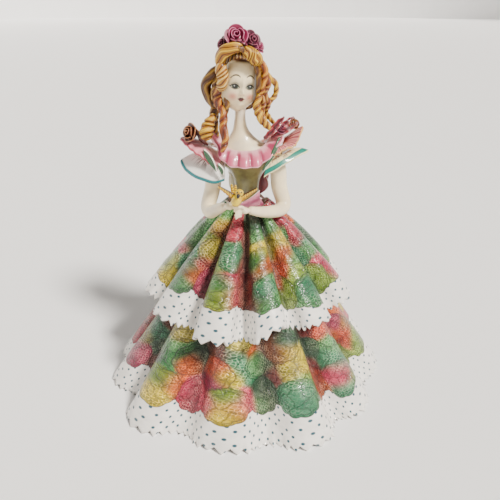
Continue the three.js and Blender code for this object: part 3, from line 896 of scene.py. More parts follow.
def lace_glaze(settings):
    """Lace pressed into rolled clay, stained in patches, wiped pale on the threads, then glazed.

    It gives dark stain in the drawn outlines, pale raised threads that are partly painted glints, and a
    wet gloss over both.
    """
    material, tree, shader = new_glaze("stained_lace_glaze", 0.34)
    paint = add(tree, "Attribute", output="all", attribute_name="paint")["Color"]
    above = add(tree, "Attribute", output="all", attribute_name="lace_edge")["Fac"]
    lace = add(tree, "UVMap", uv_map="lace")
    hem = add(tree, "UVMap", uv_map="hem")

    # The nearest doily of all four groups: its distance, angle and kind
    best = around = kind = second = None
    for letter in "abcd":
        reach = add(tree, "Attribute", output="all", attribute_name=f"reach_{letter}")["Fac"]
        offset = add(tree, "Attribute", output="all", attribute_name=f"doily_{letter}")["Vector"]
        part = add(tree, "SeparateXYZ", offset, output="all")
        angle = add(tree, "Math", part[1], part[0], operation="ARCTAN2")
        if best is None:
            best, around, kind = reach, angle, part[2]
            continue
        nearer = add(tree, "Math", reach, best, operation="LESS_THAN")
        behind = add(tree, "Math", reach, best, operation="MAXIMUM")
        second = add(tree, "Math", second, behind, operation="MINIMUM") if second else behind
        around = add(tree, "Mix", nearer, around, angle, data_type="FLOAT")
        kind = add(tree, "Mix", nearer, kind, part[2], data_type="FLOAT")
        best = add(tree, "Math", reach, best, operation="MINIMUM")

    # Drawn lines of a doily: scalloped double rim, fringe, inner ring and a flower. They are about
    # 0.6 mm wide, coarser than real thread, so that they show in the picture.
    many = add(tree, "Math", kind, 0.5, operation="GREATER_THAN")
    half_count = add(tree, "Math", many, 2.0, 4.0, operation="MULTIPLY_ADD")
    turn = add(tree, "Math", around, half_count, operation="MULTIPLY")
    wave = add(tree, "Math", add(tree, "Math", turn, operation="SINE"), operation="ABSOLUTE")
    scallop = add(tree, "Math", wave, -0.09, 1.09, operation="MULTIPLY_ADD")
    ring = add(tree, "Math", best, scallop, operation="MULTIPLY")
    inside = add(tree, "MapRange", ring, 1.04, 1.0)
    hangs = add(tree, "Math", ring, -16.0, 16.0, operation="MULTIPLY_ADD")
    edge = add(tree, "Math", above, hangs, operation="MAXIMUM")
    lines = 0.0
    for place, width, strength in ((1.0, 0.055, 1.0), (0.84, 0.036, 0.7), (0.5, 0.034, 0.5)):
        off = add(tree, "Math", ring, place, operation="SUBTRACT")
        off = add(tree, "Math", off, operation="ABSOLUTE")
        line = add(tree, "MapRange", off, width, width * 0.4, 0, strength)
        lines = add(tree, "Math", line, lines, operation="MAXIMUM")
    petal = add(tree, "Math", wave, 0.32, 0.12, operation="MULTIPLY_ADD")
    off = add(tree, "Math", best, petal, operation="SUBTRACT")
    off = add(tree, "Math", off, operation="ABSOLUTE")
    flower = add(tree, "MapRange", off, 0.036, 0.012, 0, 0.55)
    spokes = add(tree, "Math", turn, 3.0, operation="MULTIPLY")
    spokes = add(tree, "Math", spokes, operation="SINE")
    spokes = add(tree, "MapRange", spokes, 0.4, 0.9, 0, 0.45)
    fringe = add(tree, "MapRange", ring, 0.84, 0.88)
    fringe = add(tree, "Math", spokes, fringe, operation="MULTIPLY")
    for one in (flower, fringe):
        lines = add(tree, "Math", one, lines, operation="MAXIMUM")
    lines = add(tree, "Math", inside, lines, operation="MULTIPLY")
    gap = add(tree, "Math", second, best, operation="SUBTRACT")
    seam = add(tree, "MapRange", gap, 0.05, 0.02)
    seam = add(tree, "Math", seam, inside, operation="MULTIPLY")
    off_edge = add(tree, "Math", edge, operation="ABSOLUTE")
    rim = add(tree, "MapRange", off_edge, 0.7, 0.3)
    drift = {"Vector": lace, "Scale": MAP_UNIT / VEIN_DRIFT, "Detail": 1.0}
    drift = add(tree, "TexNoise", drift, output="all")["Color"]
    drift = add(tree, "VectorMath", drift, (0.07, 0.07, 0.07), operation="MULTIPLY")
    drift = add(tree, "VectorMath", lace, drift, operation="ADD")
    cells = {"Vector": drift, "Scale": MAP_UNIT / VEIN_CELL}
    veins = add(tree, "TexVoronoi", cells, voronoi_dimensions="2D", feature="DISTANCE_TO_EDGE")
    veins = add(tree, "MapRange", veins, 0.075, 0.035, 0, 0.75)
    for one in (seam, rim, veins):
        lines = add(tree, "Math", one, lines, operation="MAXIMUM")

    # The net is a little coarser than the real one, so that it shows. The stitches only catch light.
    meshes = {"Vector": lace, "Scale": MAP_UNIT / NET_MESH, "Randomness": 0.75}
    mesh = add(tree, "TexVoronoi", meshes, voronoi_dimensions="2D", feature="DISTANCE_TO_EDGE")
    threads = add(tree, "MapRange", mesh, 0.17, 0.05)
    open_net = add(tree, "MapRange", best, 0.42, 0.5, 0.7)
    threads = add(tree, "Math", threads, open_net, operation="MULTIPLY")
    stitches = {"Vector": lace, "Scale": MAP_UNIT / STITCH}
    stitch = add(tree, "TexVoronoi", stitches, voronoi_dimensions="2D")
    blotches = {"Vector": lace, "Scale": MAP_UNIT / STAIN_BLOTCH, "Detail": 4.0, "Roughness": 0.6}
    blotch = add(tree, "TexNoise", blotches)
    laced = add(tree, "MapRange", edge, -0.25, 0.25)

    # Stain lies thick and thin. In places the threads are painted pale, as wiped stain and painted
    # glints, and the stain stays dark in the lines.
    thick = add(tree, "Mix", 1.0, paint, (0.6, 0.62, 0.6), blend_type="MULTIPLY")
    thin = add(tree, "Mix", 0.06, paint, "#f3ecc9")
    depth = add(tree, "MapRange", blotch, 0.36, 0.66, **SMOOTH)
    body = add(tree, "Mix", depth, thick, thin)
    bright = add(tree, "Mix", 1.0, paint, (2.2, 2.0, 2.2), blend_type="MULTIPLY")
    wiped_and_glinting = add(tree, "TexNoise", {"Vector": lace, "Scale": MAP_UNIT / WIPED_AND_GLINT_AREA, "Detail": 2.0})
    wiped_and_glinting = add(tree, "MapRange", wiped_and_glinting, 0.38, 0.56, **SMOOTH)
    bright = add(tree, "Mix", 0.27, bright, "#f6eecb")
    stained = add(tree, "Mix", 1.0, paint, (0.42, 0.44, 0.4), blend_type="MULTIPLY")
    pale = add(tree, "Mix", wiped_and_glinting, stained, bright)
    share = add(tree, "Math", threads, 0.78, operation="MULTIPLY")
    body = add(tree, "Mix", share, body, pale)
    dark = add(tree, "Mix", 1.0, paint, (0.2, 0.2, 0.18), blend_type="MULTIPLY")
    share = add(tree, "Math", lines, 0.9, operation="MULTIPLY")
    body = add(tree, "Mix", share, body, dark)
    body = add(tree, "HueSaturation", {"Saturation": 1.1, "Color": body})

    # Dots on an uneven lattice that stands on its corner
    turned_hem = add(tree, "Mapping", {"Vector": hem, "Rotation": (0, 0, math.radians(45))})
    lattice = {"Vector": turned_hem, "Scale": MAP_UNIT * MM / settings.dot_spacing, "Randomness": 0.32}
    nearest = add(tree, "TexVoronoi", lattice, voronoi_dimensions="2D")
    radius = settings.dot_diameter / settings.dot_spacing / 2
    dot = add(tree, "MapRange", nearest, radius * 1.15, radius * 0.8)
    white = add(tree, "Mix", depth, tuple(c * 0.88 for c in settings.border), settings.border)
    border = add(tree, "Mix", dot, white, settings.dots)
    colour = add(tree, "Mix", laced, border, body)

    height = add(tree, "Math", threads, 0.8, operation="MULTIPLY")
    height = add(tree, "Math", lines, -1.2, height, operation="MULTIPLY_ADD")
    height = add(tree, "Math", stitch, -0.4, height, operation="MULTIPLY_ADD")
    height = add(tree, "Math", height, laced, operation="MULTIPLY")
    height = add(tree, "Math", ripple(tree, 6.0), 0.5, height, operation="MULTIPLY_ADD")
    finish_glaze(tree, shader, colour, height, 0.9, settings.lace_depth)
    return material


def bare_clay(settings):
    """Biscuit-fired clay that was never glazed: matt, pale, a little gritty and finger-marked."""
    material = bpy.data.materials.new("bare_fired_clay")
    material.use_nodes = True
    tree = material.node_tree
    shader = tree.nodes["Principled BSDF"]
    shader.inputs["Roughness"].default_value = 0.85
    place = add(tree, "TexCoord", output="all")["Object"]
    grit = add(tree, "TexNoise", {"Vector": place, "Scale": 1 / (1.1 * MM), "Detail": 4.0})
    wiped = add(tree, "TexNoise", {"Vector": place, "Scale": 1 / (25 * MM), "Detail": 3.0})
    share = add(tree, "MapRange", wiped, 0.4, 0.7, **SMOOTH)
    darker = tuple(c * 0.8 for c in settings.bare_clay)
    base = add(tree, "Mix", share, settings.bare_clay, darker)
    bump = add(tree, "Bump", {"Height": grit, "Strength": 0.3, "Distance": 0.0003})
    tree.links.new(base, shader.inputs["Base Color"])
    tree.links.new(bump, shader.inputs["Normal"])
    return material


def with_back(front, rows, start, rng):
    """Adds patches for the folds out of sight, in the same colours and sizes as those in front."""
    patches = {colour: list(spots) for colour, spots in front.items()}
    for step, azimuth in enumerate(np.arange(start, 360 - start + 4, 13)):
        for row, t in enumerate(rows):
            colour = BACK_COLOURS[(step * 2 + row * 4 + int(rng.integers(2))) % len(BACK_COLOURS)]
            spot = (azimuth + rng.uniform(-3, 3), t + rng.uniform(-0.04, 0.04))
            patches.setdefault(colour, []).append(spot)
    return patches


LOWER_BORDER = 29  # millimetres from the hem to the lace
UPPER_BORDER = 20


class FIGURINE_OT_skirts(bpy.types.Operator):
    """Builds both folded skirts with their pressed lace, painted patches and pinked hems"""

    bl_idname = "figurine.skirts"
    bl_label = "Folded Skirts"

    def execute(self, context):
        s = context.scene.figurine_skirts
        rng = np.random.default_rng(SEED)
        glaze, clay = lace_glaze(s), bare_clay(s)
        low, up = s.lower_hem_radius / MM, s.upper_hem_radius / MM
        hem, waist = s.upper_hem_height / MM, s.waist_height / MM
        lower = Tier(
            ridges_round(LOWER_RIDGES, 12), teeth=11,
            ridge=[(0, 48, 127), (0.38, 81, 80), (1, low + 7, 3)],
            valley=[(0, 46, 126), (0.38, 68, 76), (1, low - 7.5, -0.6)],
            slant=152, bend=1.05, widen=0.4, trim=lambda a: 0 * a, slab=s.slab / MM, top_slab=2.4,
        )
        upper = Tier(
            ridges_round(UPPER_RIDGES, 11), teeth=10,
            ridge=[(0, 20, waist + 1), (0.5, 63, 133), (1, up + 8, hem + 2)],
            valley=[(0, 15, waist - 3), (0.5, 49.5, 126), (1, up - 11, hem - 7)],
            slant=116, bend=1.32, widen=0.5, trim=lambda a: 11 * np.exp(-(((a - 19) / 11) ** 2)),
            slab=s.slab / MM, top_slab=2,
        )
        for tier in (lower, upper):
            tier.lay_pattern()

        def lower_border(azimuth):
            return LOWER_BORDER + 3 * np.sin(np.radians(azimuth * 5))

        def upper_border(azimuth):
            front_left = smoothstep(8, -6, azimuth) * smoothstep(-75, -50, azimuth)
            return UPPER_BORDER + 11 * front_left + 2 * np.sin(np.radians(azimuth * 6))

        lower_paint = with_back(LOWER_PATCHES, (0.5, 0.68, 0.84), 100, rng)
        upper_paint = with_back(UPPER_PATCHES, (0.2, 0.45, 0.7), 90, rng)
        # Each with its border, the share where its seen rows start, their number and its doilies' hang
        for name, *made_of in (
            ("lower_skirt", lower, lower_paint, lower_border, rng, s, 0.26, 76, 0.5),
            ("upper_skirt", upper, upper_paint, upper_border, rng, s, 0.02, 82, 0.28),
        ):
            hand_in(skirt(name, *made_of), "lace_glaze", glaze, clay)
        return {"FINISHED"}


# Bodice, arms and neck

BODICE_DEPTH = 0.8  # from front to back, against its width
SASH_THICKNESS = 1.8


class FIGURINE_OT_bodice(bpy.types.Operator):
    """Builds the plain bodice and the sash round its waist"""

    bl_idname = "figurine.bodice"
    bl_label = "Bodice and Sash"

    def execute(self, context):
        lady = context.scene.figurine_lady
        thick = lady.petal_thickness
        rings = [
            (22, 163), (14.5, 169), (10.8, 176), (10, 183), (10.8, 192), (13, 199),
            (18.5, 205.5), (24, 210.5), (25, 214), (18, 218),
        ]
        bodice = turned("bodice", rings, sides=64, depth=BODICE_DEPTH)
        modify(bodice, "SUBSURF", levels=1, render_levels=1)
        olive = plain_glaze("olive_glaze", lady.olive, tuple(c * 0.55 for c in lady.olive), 9)
        hand_in(bodice, "olive_glaze", olive)

        def band(u, v):
            angle = 2 * math.pi * u
            rise = 6 * np.exp(-(((angle - 0.75) / 0.5) ** 2)) * v
            radius = 15 + 0.8 * np.cos(4 * math.pi * v) + 0.5 * np.sin(angle * 5) - 3.4 * v
            x, y = radius * np.sin(angle), -0.84 * radius * np.cos(angle)
            return np.stack([x, y, 165.5 + 10 * v + rise], axis=-1)

        mauve = petal_glaze(
            "mauve_ribbon_glaze", "#8d3f5c", "#c9788f", "#efe2dc", rim_from=0.86, two_edged=True,
        )
        hand_in(sheet("sash", 80, 8, band, SASH_THICKNESS * MM), "rose_glaze", mauve)

        def flap(u, v):
            low = through([(-6, -14.5, 173), (2, -15, 172.5), (11.5, -13, 175)], u)
            high = through([(-5, -14.5, 176), (4, -14.5, 182.5), (11, -12, 188)], u)
            point = mix(low, high, v[:, None])
            point[:, 1] -= 1.5 * np.sin(math.pi * v)
            return point

        hand_in(sheet("sash_end", 24, 10, flap, thick * 0.8), "rose_glaze", mauve)
        return {"FINISHED"}


# Both arms by their side, -1 or 1: the arm from shoulder to wrist with its radii, then the hand

ARMS = {
    -1: {
        "arm": [
            (-22, 1, 213), (-28.5, -1, 203), (-30.6, -3, 187), (-34.6, -8, 172), (-32, -17, 169.5),
            (-25, -29, 177), (-17.5, -38.5, 183.5),
        ],
        "radii": [7, 7.3, 7.1, 6.7, 6.0, 4.9, 3.2],
        "palm": [(-18.5, -37.5, 183), (-14, -41.5, 184.6), (-10.5, -43.5, 184.4)],
        "tips": (-4.2, -46.5, 181.5),
    },
    1: {
        "arm": [
            (22, 1, 214), (27, -1, 204), (28.5, -3, 188), (32.5, -7, 173), (27, -17, 170.5),
            (13, -32, 175.5), (1, -41, 181),
        ],
        "radii": [7, 7.3, 7.1, 6.6, 5.8, 4.7, 3.2],
        "palm": [(2, -40.5, 180.6), (-2, -43.5, 181.6), (-4.5, -45.2, 180.6)],
        "tips": (-10.5, -48.2, 177.6),
    },
}
FINGERS = 4
FINGER_SPACING = 2.25
# Radii from the root to the tip
FINGER_RADII = [1.2, 1.05, 0.7]
THUMB_RADII = [1.7, 1.4, 0.9]
SMALL_VOXEL = 0.45  # millimetres, fine enough for the fingers and the bird's head


class FIGURINE_OT_skin(bpy.types.Operator):
    """Builds the neck, shoulders, arms and folded hands as one smooth form"""

    bl_idname = "figurine.skin"
    bl_label = "Neck, Arms and Hands"

    def execute(self, context):
        bust = [
            (209, -1, 0, 12, 8), (211.5, -2, 0, 22, 13), (214, -2, 0, 27, 17), (220, -2, 0, 24, 16.5),
            (225, -2.6, 0.2, 18.5, 13.5), (229, -3.8, 0.6, 13.3, 10.5), (233, -4.8, 0.8, 9.6, 8.2),
            (238, -5.5, 0.6, 6.6, 6.2), (244, -5.8, 0.3, 5.1, 5.1), (252, -5.6, 0.1, 4.5, 4.7),
            (264, -5, 0.5, 5.6, 5.6),
        ]
        parts = [loft("bust", bust, 64, 0.8)]
        for side, limb in ARMS.items():
            parts.append(tube("arm", limb["arm"], limb["radii"], sides=28))
            parts.append(tube("palm", limb["palm"], [3.2, 3.9, 3.4], sides=20, flat=0.72))
            start = np.array(limb["palm"][-1], float)
            tips = np.array(limb["tips"], float)
            for finger in range(FINGERS):
                from_middle = 1.5 - finger
                drop = np.array([0.2 * side, 0.5 * abs(from_middle), FINGER_SPACING * from_middle])
                reach = 1 - 0.09 * abs(finger - 1.2)
                end = start + (tips - start) * reach + drop * 0.92
                middle = (start + end) / 2 + drop * 0.3 + np.array([0, -0.9, 0.8])
                line = [start + drop, middle, end]
                parts.append(tube("finger", line, FINGER_RADII, sides=12, step=0.5))
            root = np.array(limb["palm"][1], float) + np.array([0, -1.5, 2.4])
            tip = root + np.array([-5.5 * side, -3, 2.0])
            line = [root, (root + tip) / 2 + (0, 0, 0.8), tip]
            parts.append(tube("thumb", line, THUMB_RADII, sides=12, step=0.5))
        skin = join("neck_arms_and_hands", parts)
        modify(skin, "REMESH", mode="VOXEL", voxel_size=SMALL_VOXEL * MM)
        modify(skin, "SMOOTH", factor=0.5, iterations=2)
        modify(skin, "DECIMATE", ratio=0.34)
        ivory = plain_glaze("ivory_glaze", context.scene.figurine_lady.ivory, "#dfcfb4", 14)
        hand_in(skin, "ivory_glaze", ivory)
        return {"FINISHED"}


# Head

HEAD_CENTRE = np.array([-6.2, -1.0, 277.5])
HEAD_YAW = math.radians(15)
HEAD_ROLL = math.radians(6)


def head_to_world(local):
    """From head space, with x to the right, y out of the face and z up, to the table's space."""
    x, y, z = local.T
    across = x * math.cos(HEAD_YAW) + y * math.sin(HEAD_YAW)
    back = x * math.sin(HEAD_YAW) - y * math.cos(HEAD_YAW)
    tilted = across * math.cos(HEAD_ROLL) + z * math.sin(HEAD_ROLL)
    height = z * math.cos(HEAD_ROLL) - across * math.sin(HEAD_ROLL)
    return np.stack([tilted, back, height], axis=-1) + HEAD_CENTRE


def hump(x, z, at, width, height):
    """A soft hump over a place on the face, 1 at its middle."""
    return np.exp(-(((x - at[0]) / width) ** 2) - (((z - at[1]) / height) ** 2))


def head_form(direction):
    """The head's surface in head space for directions from its centre."""
    dx, dy, dz = direction.T
    z = dz * np.where(dz > 0, 20, 24.2)
    x = 14.2 * dx * (1 + 0.24 * np.exp(-(((z + 14) / 7) ** 2)))
    jaw = np.clip(-z / 22, 0, 1)
    y = dy * np.where(dy > 0, 14 * (0.98 - 0.1 * jaw), 14 * (1 - 0.25 * jaw))
    front = np.clip(dy, 0, 1) ** 0.5
    side = np.abs(x)
    out = 1.3 * hump(x, z, (0, -2), 1.3, 4.5) + 3.1 * hump(x, z, (0, -7.3), 1.5, 2.2)
    out = out + 0.8 * hump(side, z, (1.4, -8.3), 0.9, 0.9)
    out = out - 1.2 * hump(side, z, (5.8, -2.2), 3.4, 2.4) + 0.9 * hump(side, z, (6, -3.2), 2.6, 1.5)
    out = out + 0.5 * hump(side, z, (6, 3.6), 4, 1.6) + 0.8 * hump(side, z, (7, -9.5), 3.8, 3.6)
    out = out + 0.9 * hump(x, z, (0, -11.7), 2.3, 0.8) + 1.0 * hump(x, z, (0, -13.4), 1.9, 0.9)
    out = out + 0.9 * hump(x, z, (0, -18), 3.6, 2.4) - 0.3 * hump(x, z, (0, -10), 0.8, 0.8)
    return np.stack([x, y + out * front, z], axis=-1)


def cover(distance, soft=0.22):
    """1 where a painted shape is, fading over its soft edge."""
    return 1 - smoothstep(-soft, soft, distance)


def painted_face(local, ivory):
    """Doll's features in underglaze paint: brows, lids, eyes, lips and blush, with painted shade round
    the face and beside the nose, and a painted highlight in each eye.
    """
    x, y, z = local.T
    facing = smoothstep(2, 6, y)
    colour = np.tile(np.array(ivory), (len(x), 1))

    def brush(amount, paint, where=facing):
        share = (np.clip(amount, 0, 1) * where)[:, None]
        colour[:] = colour * (1 - share) + np.array(linear(paint)) * share

    # Painted shade: the face darkens towards its edges, and a dark brown painted shadow lies along its
    # right edge, against the hair.
    brush(0.5 * smoothstep(7, 13, np.hypot(x, 0.45 * (z + 4))), "#a08c66")
    brush(0.8 * smoothstep(9, 12.5, x - 0.02 * (z + 6) ** 2 * (z < -6)), "#4a3222")
    # Painted shade on the left of the nose.
    brush(0.25 * hump(x, z, (-2.4, -3), 1, 4.5), "#a08c66")
    for side in (-1, 1):
        s = x * side
        brush(0.75 * hump(s, z, (7, -10.6), 3.6, 3.2), "#c85a48")
        brush(0.75 * hump(s, z, (6.1, -1.6), 3.9, 2.5), "#5d5a48")
        # Across and up from the middle of the eye
        e, f = s - 6, z + 3.1
        shape = np.clip(1 - (e / 3.5) ** 2, 0, 1)
        almond = np.where(np.abs(e) < 3.5, np.maximum(f - 2.1 * shape, -f - 1.6 * shape), 1)
        inside = cover(almond)
        brush(inside, "#aeab97")
        brush(cover(np.hypot(e, f - 0.2) - 2.3) * inside, "#26342a")
        brush(cover(np.hypot(e, f - 0.2) - 1.2) * inside, "#0d0b0a")
        # A painted highlight in each eye.
        brush(cover(np.hypot(e - 0.5, f - 0.8) - 0.3, 0.15) * inside, "#ffffff")
        wing = 0.35 * np.clip(e / 3.5, 0, 1.3) ** 2
        brush(cover(np.abs(f - 2.1 * shape - wing) - 0.62) * cover(np.abs(e - 0.2) - 3.9), "#120c0a")
        brush(0.9 * cover(np.abs(f + 1.6 * shape) - 0.3) * cover(np.abs(e) - 3.3), "#4a382c")
        brush(0.7 * cover(np.abs(f - 2.1 * shape - 1.4) - 0.2) * cover(np.abs(e) - 3, 0.4), "#55442f")
        arch = 6 - 0.15 * (s - 5.5) ** 2
        brush(cover(np.abs(z - arch) - 0.5) * cover(np.abs(s - 6.2) - 3.7, 0.4), "#170e09")
        brush(0.6 * hump(s, z, (1.2, -9.2), 0.6, 0.4), "#c77f6a")
    bow = 1.8 * np.clip(1 - (np.abs(x) / 3) ** 1.7, 0, 1) - 0.4 * np.exp(-((x / 0.6) ** 2))
    upper = np.where(np.abs(x) < 3, np.maximum(z + 12.5 - bow, -z - 12.7), 1)
    full = 2 * np.clip(1 - (x / 2.5) ** 2, 0, 1)
    lower = np.where(np.abs(x) < 2.5, np.maximum(z + 12.5, -z - 12.5 - full), 1)
    brush(cover(upper, 0.2), "#3e0710")
    brush(cover(lower, 0.25), "#580b16")
    brush(0.8 * cover(np.abs(z + 12.5) - 0.14, 0.1) * cover(np.abs(x) - 2.6), "#240408")
    # The scalp, all round
    brush(np.maximum(smoothstep(13.5, 16.5, z), smoothstep(0, -3, y)), "#4a2a12", where=1)
    return colour


class FIGURINE_OT_head(bpy.types.Operator):
    """Builds the head and paints its doll's face"""

    bl_idname = "figurine.head"
    bl_label = "Head and Face"

    def execute(self, context):
        select()
        bpy.ops.mesh.primitive_uv_sphere_add(segments=216, ring_count=168, radius=1)
        head = bpy.context.object
        head.name = head.data.name = "head"
        flat = np.empty(len(head.data.vertices) * 3)
        head.data.vertices.foreach_get("co", flat)
        east, north, up = flat.reshape(-1, 3).T
        azimuth = np.arctan2(east, -north)
        # The mesh is finer over the face, where the paint needs it.
        azimuth = azimuth - 0.45 * np.sin(azimuth)
        level = np.hypot(east, north)
        local = head_form(np.stack([level * np.sin(azimuth), level * np.cos(azimuth), up], axis=-1))
        head.data.vertices.foreach_set("co", (head_to_world(local) * MM).ravel())
        set_paint(head, painted_face(local, context.scene.figurine_lady.ivory))
        close_seams(head)
        hand_in(head, "ivory_glaze", painted_glaze("painted_ivory_glaze"))
        return {"FINISHED"}


# Collar, sleeves and leaves

PAST_EDGE = 1.1  # as a band's limit, it lets the band run on over the edge
BAND_BLUR = 0.03  # share of the petal over which a band's edge fades


def petal_glaze(name, root, body, rim, rim_from=0.95, rim_to=PAST_EDGE, two_edged=False, lines=0,
                groove=None, strokes=None):
    """A glaze that changes from root to rim of a petal, on its own map, so its edge stays crisp.

    The rim colour lies between those two shares. Lines are combed grooves from root to rim, and
    strokes are brushed over the root. On a ribbon both long edges are rims.
    """
    material, tree, shader = new_glaze(name)
    part = add(tree, "SeparateXYZ", add(tree, "UVMap", uv_map="UVMap"), output="all")
    across = part[1]
    if two_edged:
        across = add(tree, "Math", across, 2.0, -1.0, operation="MULTIPLY_ADD")
        across = add(tree, "Math", across, operation="ABSOLUTE")
    noise = ripple(tree, 4.0)
    height = noise
    wander = add(tree, "Math", noise, 0.4, across, operation="MULTIPLY_ADD")
    base = add(tree, "MapRange", wander, 0.25, 0.8, **SMOOTH)
    base = add(tree, "Mix", base, root, body)
    if lines:
        wave = add(tree, "Math", part[0], 2 * math.pi * lines, operation="MULTIPLY")
        wave = add(tree, "Math", wave, operation="COSINE")
        cut = add(tree, "MapRange", wave, 0.3, -0.9, **SMOOTH)
        fading = add(tree, "MapRange", across, 0.05, 0.35)
        cut = add(tree, "Math", cut, fading, operation="MULTIPLY")
        base = add(tree, "Mix", cut, base, groove)
        height = add(tree, "Math", cut, -0.8, noise, operation="MULTIPLY_ADD")
    if strokes:
        stretched = add(tree, "CombineXYZ", part[0], part[1])
        stretched = add(tree, "Mapping", {"Vector": stretched, "Scale": (30, 2.4, 1)})
        dashes = add(tree, "TexNoise", {"Vector": stretched, "Scale": 1.0, "Detail": 1.0})
        dashes = add(tree, "MapRange", dashes, 0.54, 0.62)
        reach = add(tree, "MapRange", across, 0.75, 0.45)
        marks = add(tree, "Math", dashes, reach, operation="MULTIPLY")
        base = add(tree, "Mix", marks, base, strokes)
    from_rim = add(tree, "MapRange", across, rim_from, rim_from + BAND_BLUR)
    to_rim = add(tree, "MapRange", across, rim_to + BAND_BLUR, rim_to)
    edge = add(tree, "Math", from_rim, to_rim, operation="MULTIPLY")
    base = add(tree, "Mix", edge, base, rim)
    finish_glaze(tree, shader, base, height, 0.3, 0.0005)
    return material


FLUTES = 16


def collar_place(u, v):
    """From the neck line down to the fluted rim, which rises to a peak over each shoulder."""
    azimuth = 2 * math.pi * (u - 0.5)
    side = np.sin(azimuth)
    lift = np.where(side > 0, 27, 28) * side**4
    flute = 1.7 * np.cos(azimuth * FLUTES) + 0.6 * np.sin(azimuth * 7)
    flute = flute * smoothstep(0.05, 0.7, v) * mix(1, 0.7, v)
    flare = np.where(side > 0, 7, 1) * side**4
    radius = mix(20.3, 28 + flare, v) + flute + 1.2 * np.sin(math.pi * v)
    z = mix(223 + 0.3 * lift, 212 + lift, v**1.5)
    return np.stack([radius * side - 2, -radius * np.cos(azimuth) * mix(0.76, 0.97, v), z], axis=-1)


def petal_place(root, rim, cup, frill=0.0, waves=5):
    """A cupped petal from a root curve to a rim curve, both from the front round to the back."""

    def place(u, v):
        point = mix(through(root, u), through(rim, u), v[:, None])
        wave = frill * np.sin(2 * math.pi * waves * u) * smoothstep(0.3, 1, v)
        point[:, 2] += cup * 4 * v * (1 - v) + wave
        return point

    return place


def leaf_place(spine, width, across, crease, frill=0.0):
    """A pointed leaf along its spine, creased along the middle, with a frill along its edges."""

    def place(u, v):
        half = width / 2 * np.sin(math.pi * np.clip(u, 0.02, 0.98)) ** 0.7
        point = through(spine, u) + np.outer((2 * v - 1) * half, across)
        point[:, 1] += (crease + frill * np.sin(2 * math.pi * 3 * u)) * np.abs(2 * v - 1)
        return point

    return place


def armhole(side, z):
    rise = ((18, -12, 0), (27, -8, 3), (31, 0, 4), (27, 8, 3), (18, 12, 0))
    return [(side * across, back, z + up) for across, back, up in rise]


# Rims of the sleeves, from the front round to the back

LOWER_SLEEVES = {
    "left": [
        (-19, -19, 198.5), (-26.6, -22, 197), (-35.2, -21, 198.2), (-42.7, -18, 200.1),
        (-49.2, -14, 202.3), (-54.6, -8, 205.4), (-58, 0, 210), (-50, 10, 206), (-36, 17, 200),
        (-20, 20, 199),
    ],
    "right": [
        (14, -20, 201.6), (23.4, -19, 207.3), (33.5, -15, 212.2), (42.7, -9, 215.9), (53.5, 0, 219),
        (46, 9, 213), (34, 16, 206), (19, 20, 202),
    ],
}
UPPER_SLEEVES = {
    "left": [
        (-24, -21, 211), (-31, -20, 213), (-37, -18, 217.5), (-45, -14, 222), (-52, -7, 226),
        (-57.5, 0, 230), (-50, 9, 226), (-38, 14, 220), (-22, 18, 217),
    ],
    "right": [
        (20, -19, 219), (26, -18, 221.5), (31.3, -15, 224.2), (40, -9, 225.5), (43, -6, 228.5),
        (48, 0, 239.5), (44, 8, 233), (35, 13, 225), (21, 18, 221),
    ],
}


class FIGURINE_OT_collar_and_sleeves(bpy.types.Operator):
    """Builds the fluted collar, the winged sleeves and the leaves between them"""

    bl_idname = "figurine.collar_and_sleeves"
    bl_label = "Collar and Sleeves"

    def execute(self, context):
        lady = context.scene.figurine_lady
        thick = lady.petal_thickness
        pink = petal_glaze(
            "pink_collar_glaze", "#e9b4ba", lady.collar_pink, "#eeb0bd", lines=FLUTES, groove="#a03a58",
        )
        hand_in(sheet("collar", 256, 12, collar_place, thick), "pink_glaze", pink)
        smooth_pink = petal_glaze(
            "smooth_pink_glaze", "#f0dccb", "#dd8a96", "#b03f4e", rim_from=0.93,
        )
        combed_pink = petal_glaze(
            "combed_pink_glaze", "#a85a2a", "#d98f86", "#d9a050", lines=34, groove="#9c4650",
        )
        # The white sleeve is painted olive brown at its root, under the upper sleeve, as painted shade.
        white = petal_glaze(
            "teal_rimmed_glaze", "#7d6f4c", "#f4f1ea", lady.teal, rim_from=0.9, strokes="#3a2420",
        )
        banded = petal_glaze(
            "teal_banded_glaze", "#a8984a", "#f1e4b0", "#127c6c", rim_from=0.7, rim_to=0.94,
            strokes="#5c2c38",
        )
        for side, word, above, below, low in (
            (-1, "left", smooth_pink, white, 213),
            (1, "right", combed_pink, banded, 212),
        ):
            root = armhole(side, 219 if side < 0 else 221)
            place = petal_place(root, UPPER_SLEEVES[word], 1.4, 0.5, 11)
            hand_in(sheet(f"upper_sleeve_{word}", 88, 12, place, thick), "pink_glaze", above)
            place = petal_place(armhole(side, low), LOWER_SLEEVES[word], 3.2, 0.2, 5)
            hand_in(sheet(f"lower_sleeve_{word}", 64, 16, place, thick), "teal_glaze", below)
        leaf = petal_glaze("cream_and_green_leaf_glaze", "#33573a", "#2c5236", "#f2efdf")
        leaves = {
            "leaf_left": (
                [(-36, -15, 225), (-31, -19.5, 218), (-25, -23, 208.5)], 5.4, (0.8, -0.2, 0.55),
            ),
            "leaf_left_small": (
                [(-24, -22.5, 215), (-21, -24, 210), (-20, -24, 205.5)], 4, (0.9, -0.2, 0.3),
            ),
            "leaf_right": (
                [(28.5, -8, 235), (22.5, -17, 223), (13.5, -23, 209)], 4.2, (0.8, 0.25, -0.5),
            ),
        }
        for name, (spine, width, across) in leaves.items():
            place = leaf_place(spine, width, across, -0.8)
            hand_in(sheet(name, 24, 8, place, thick * 0.8), "teal_glaze", leaf)
        return {"FINISHED"}


# Bow


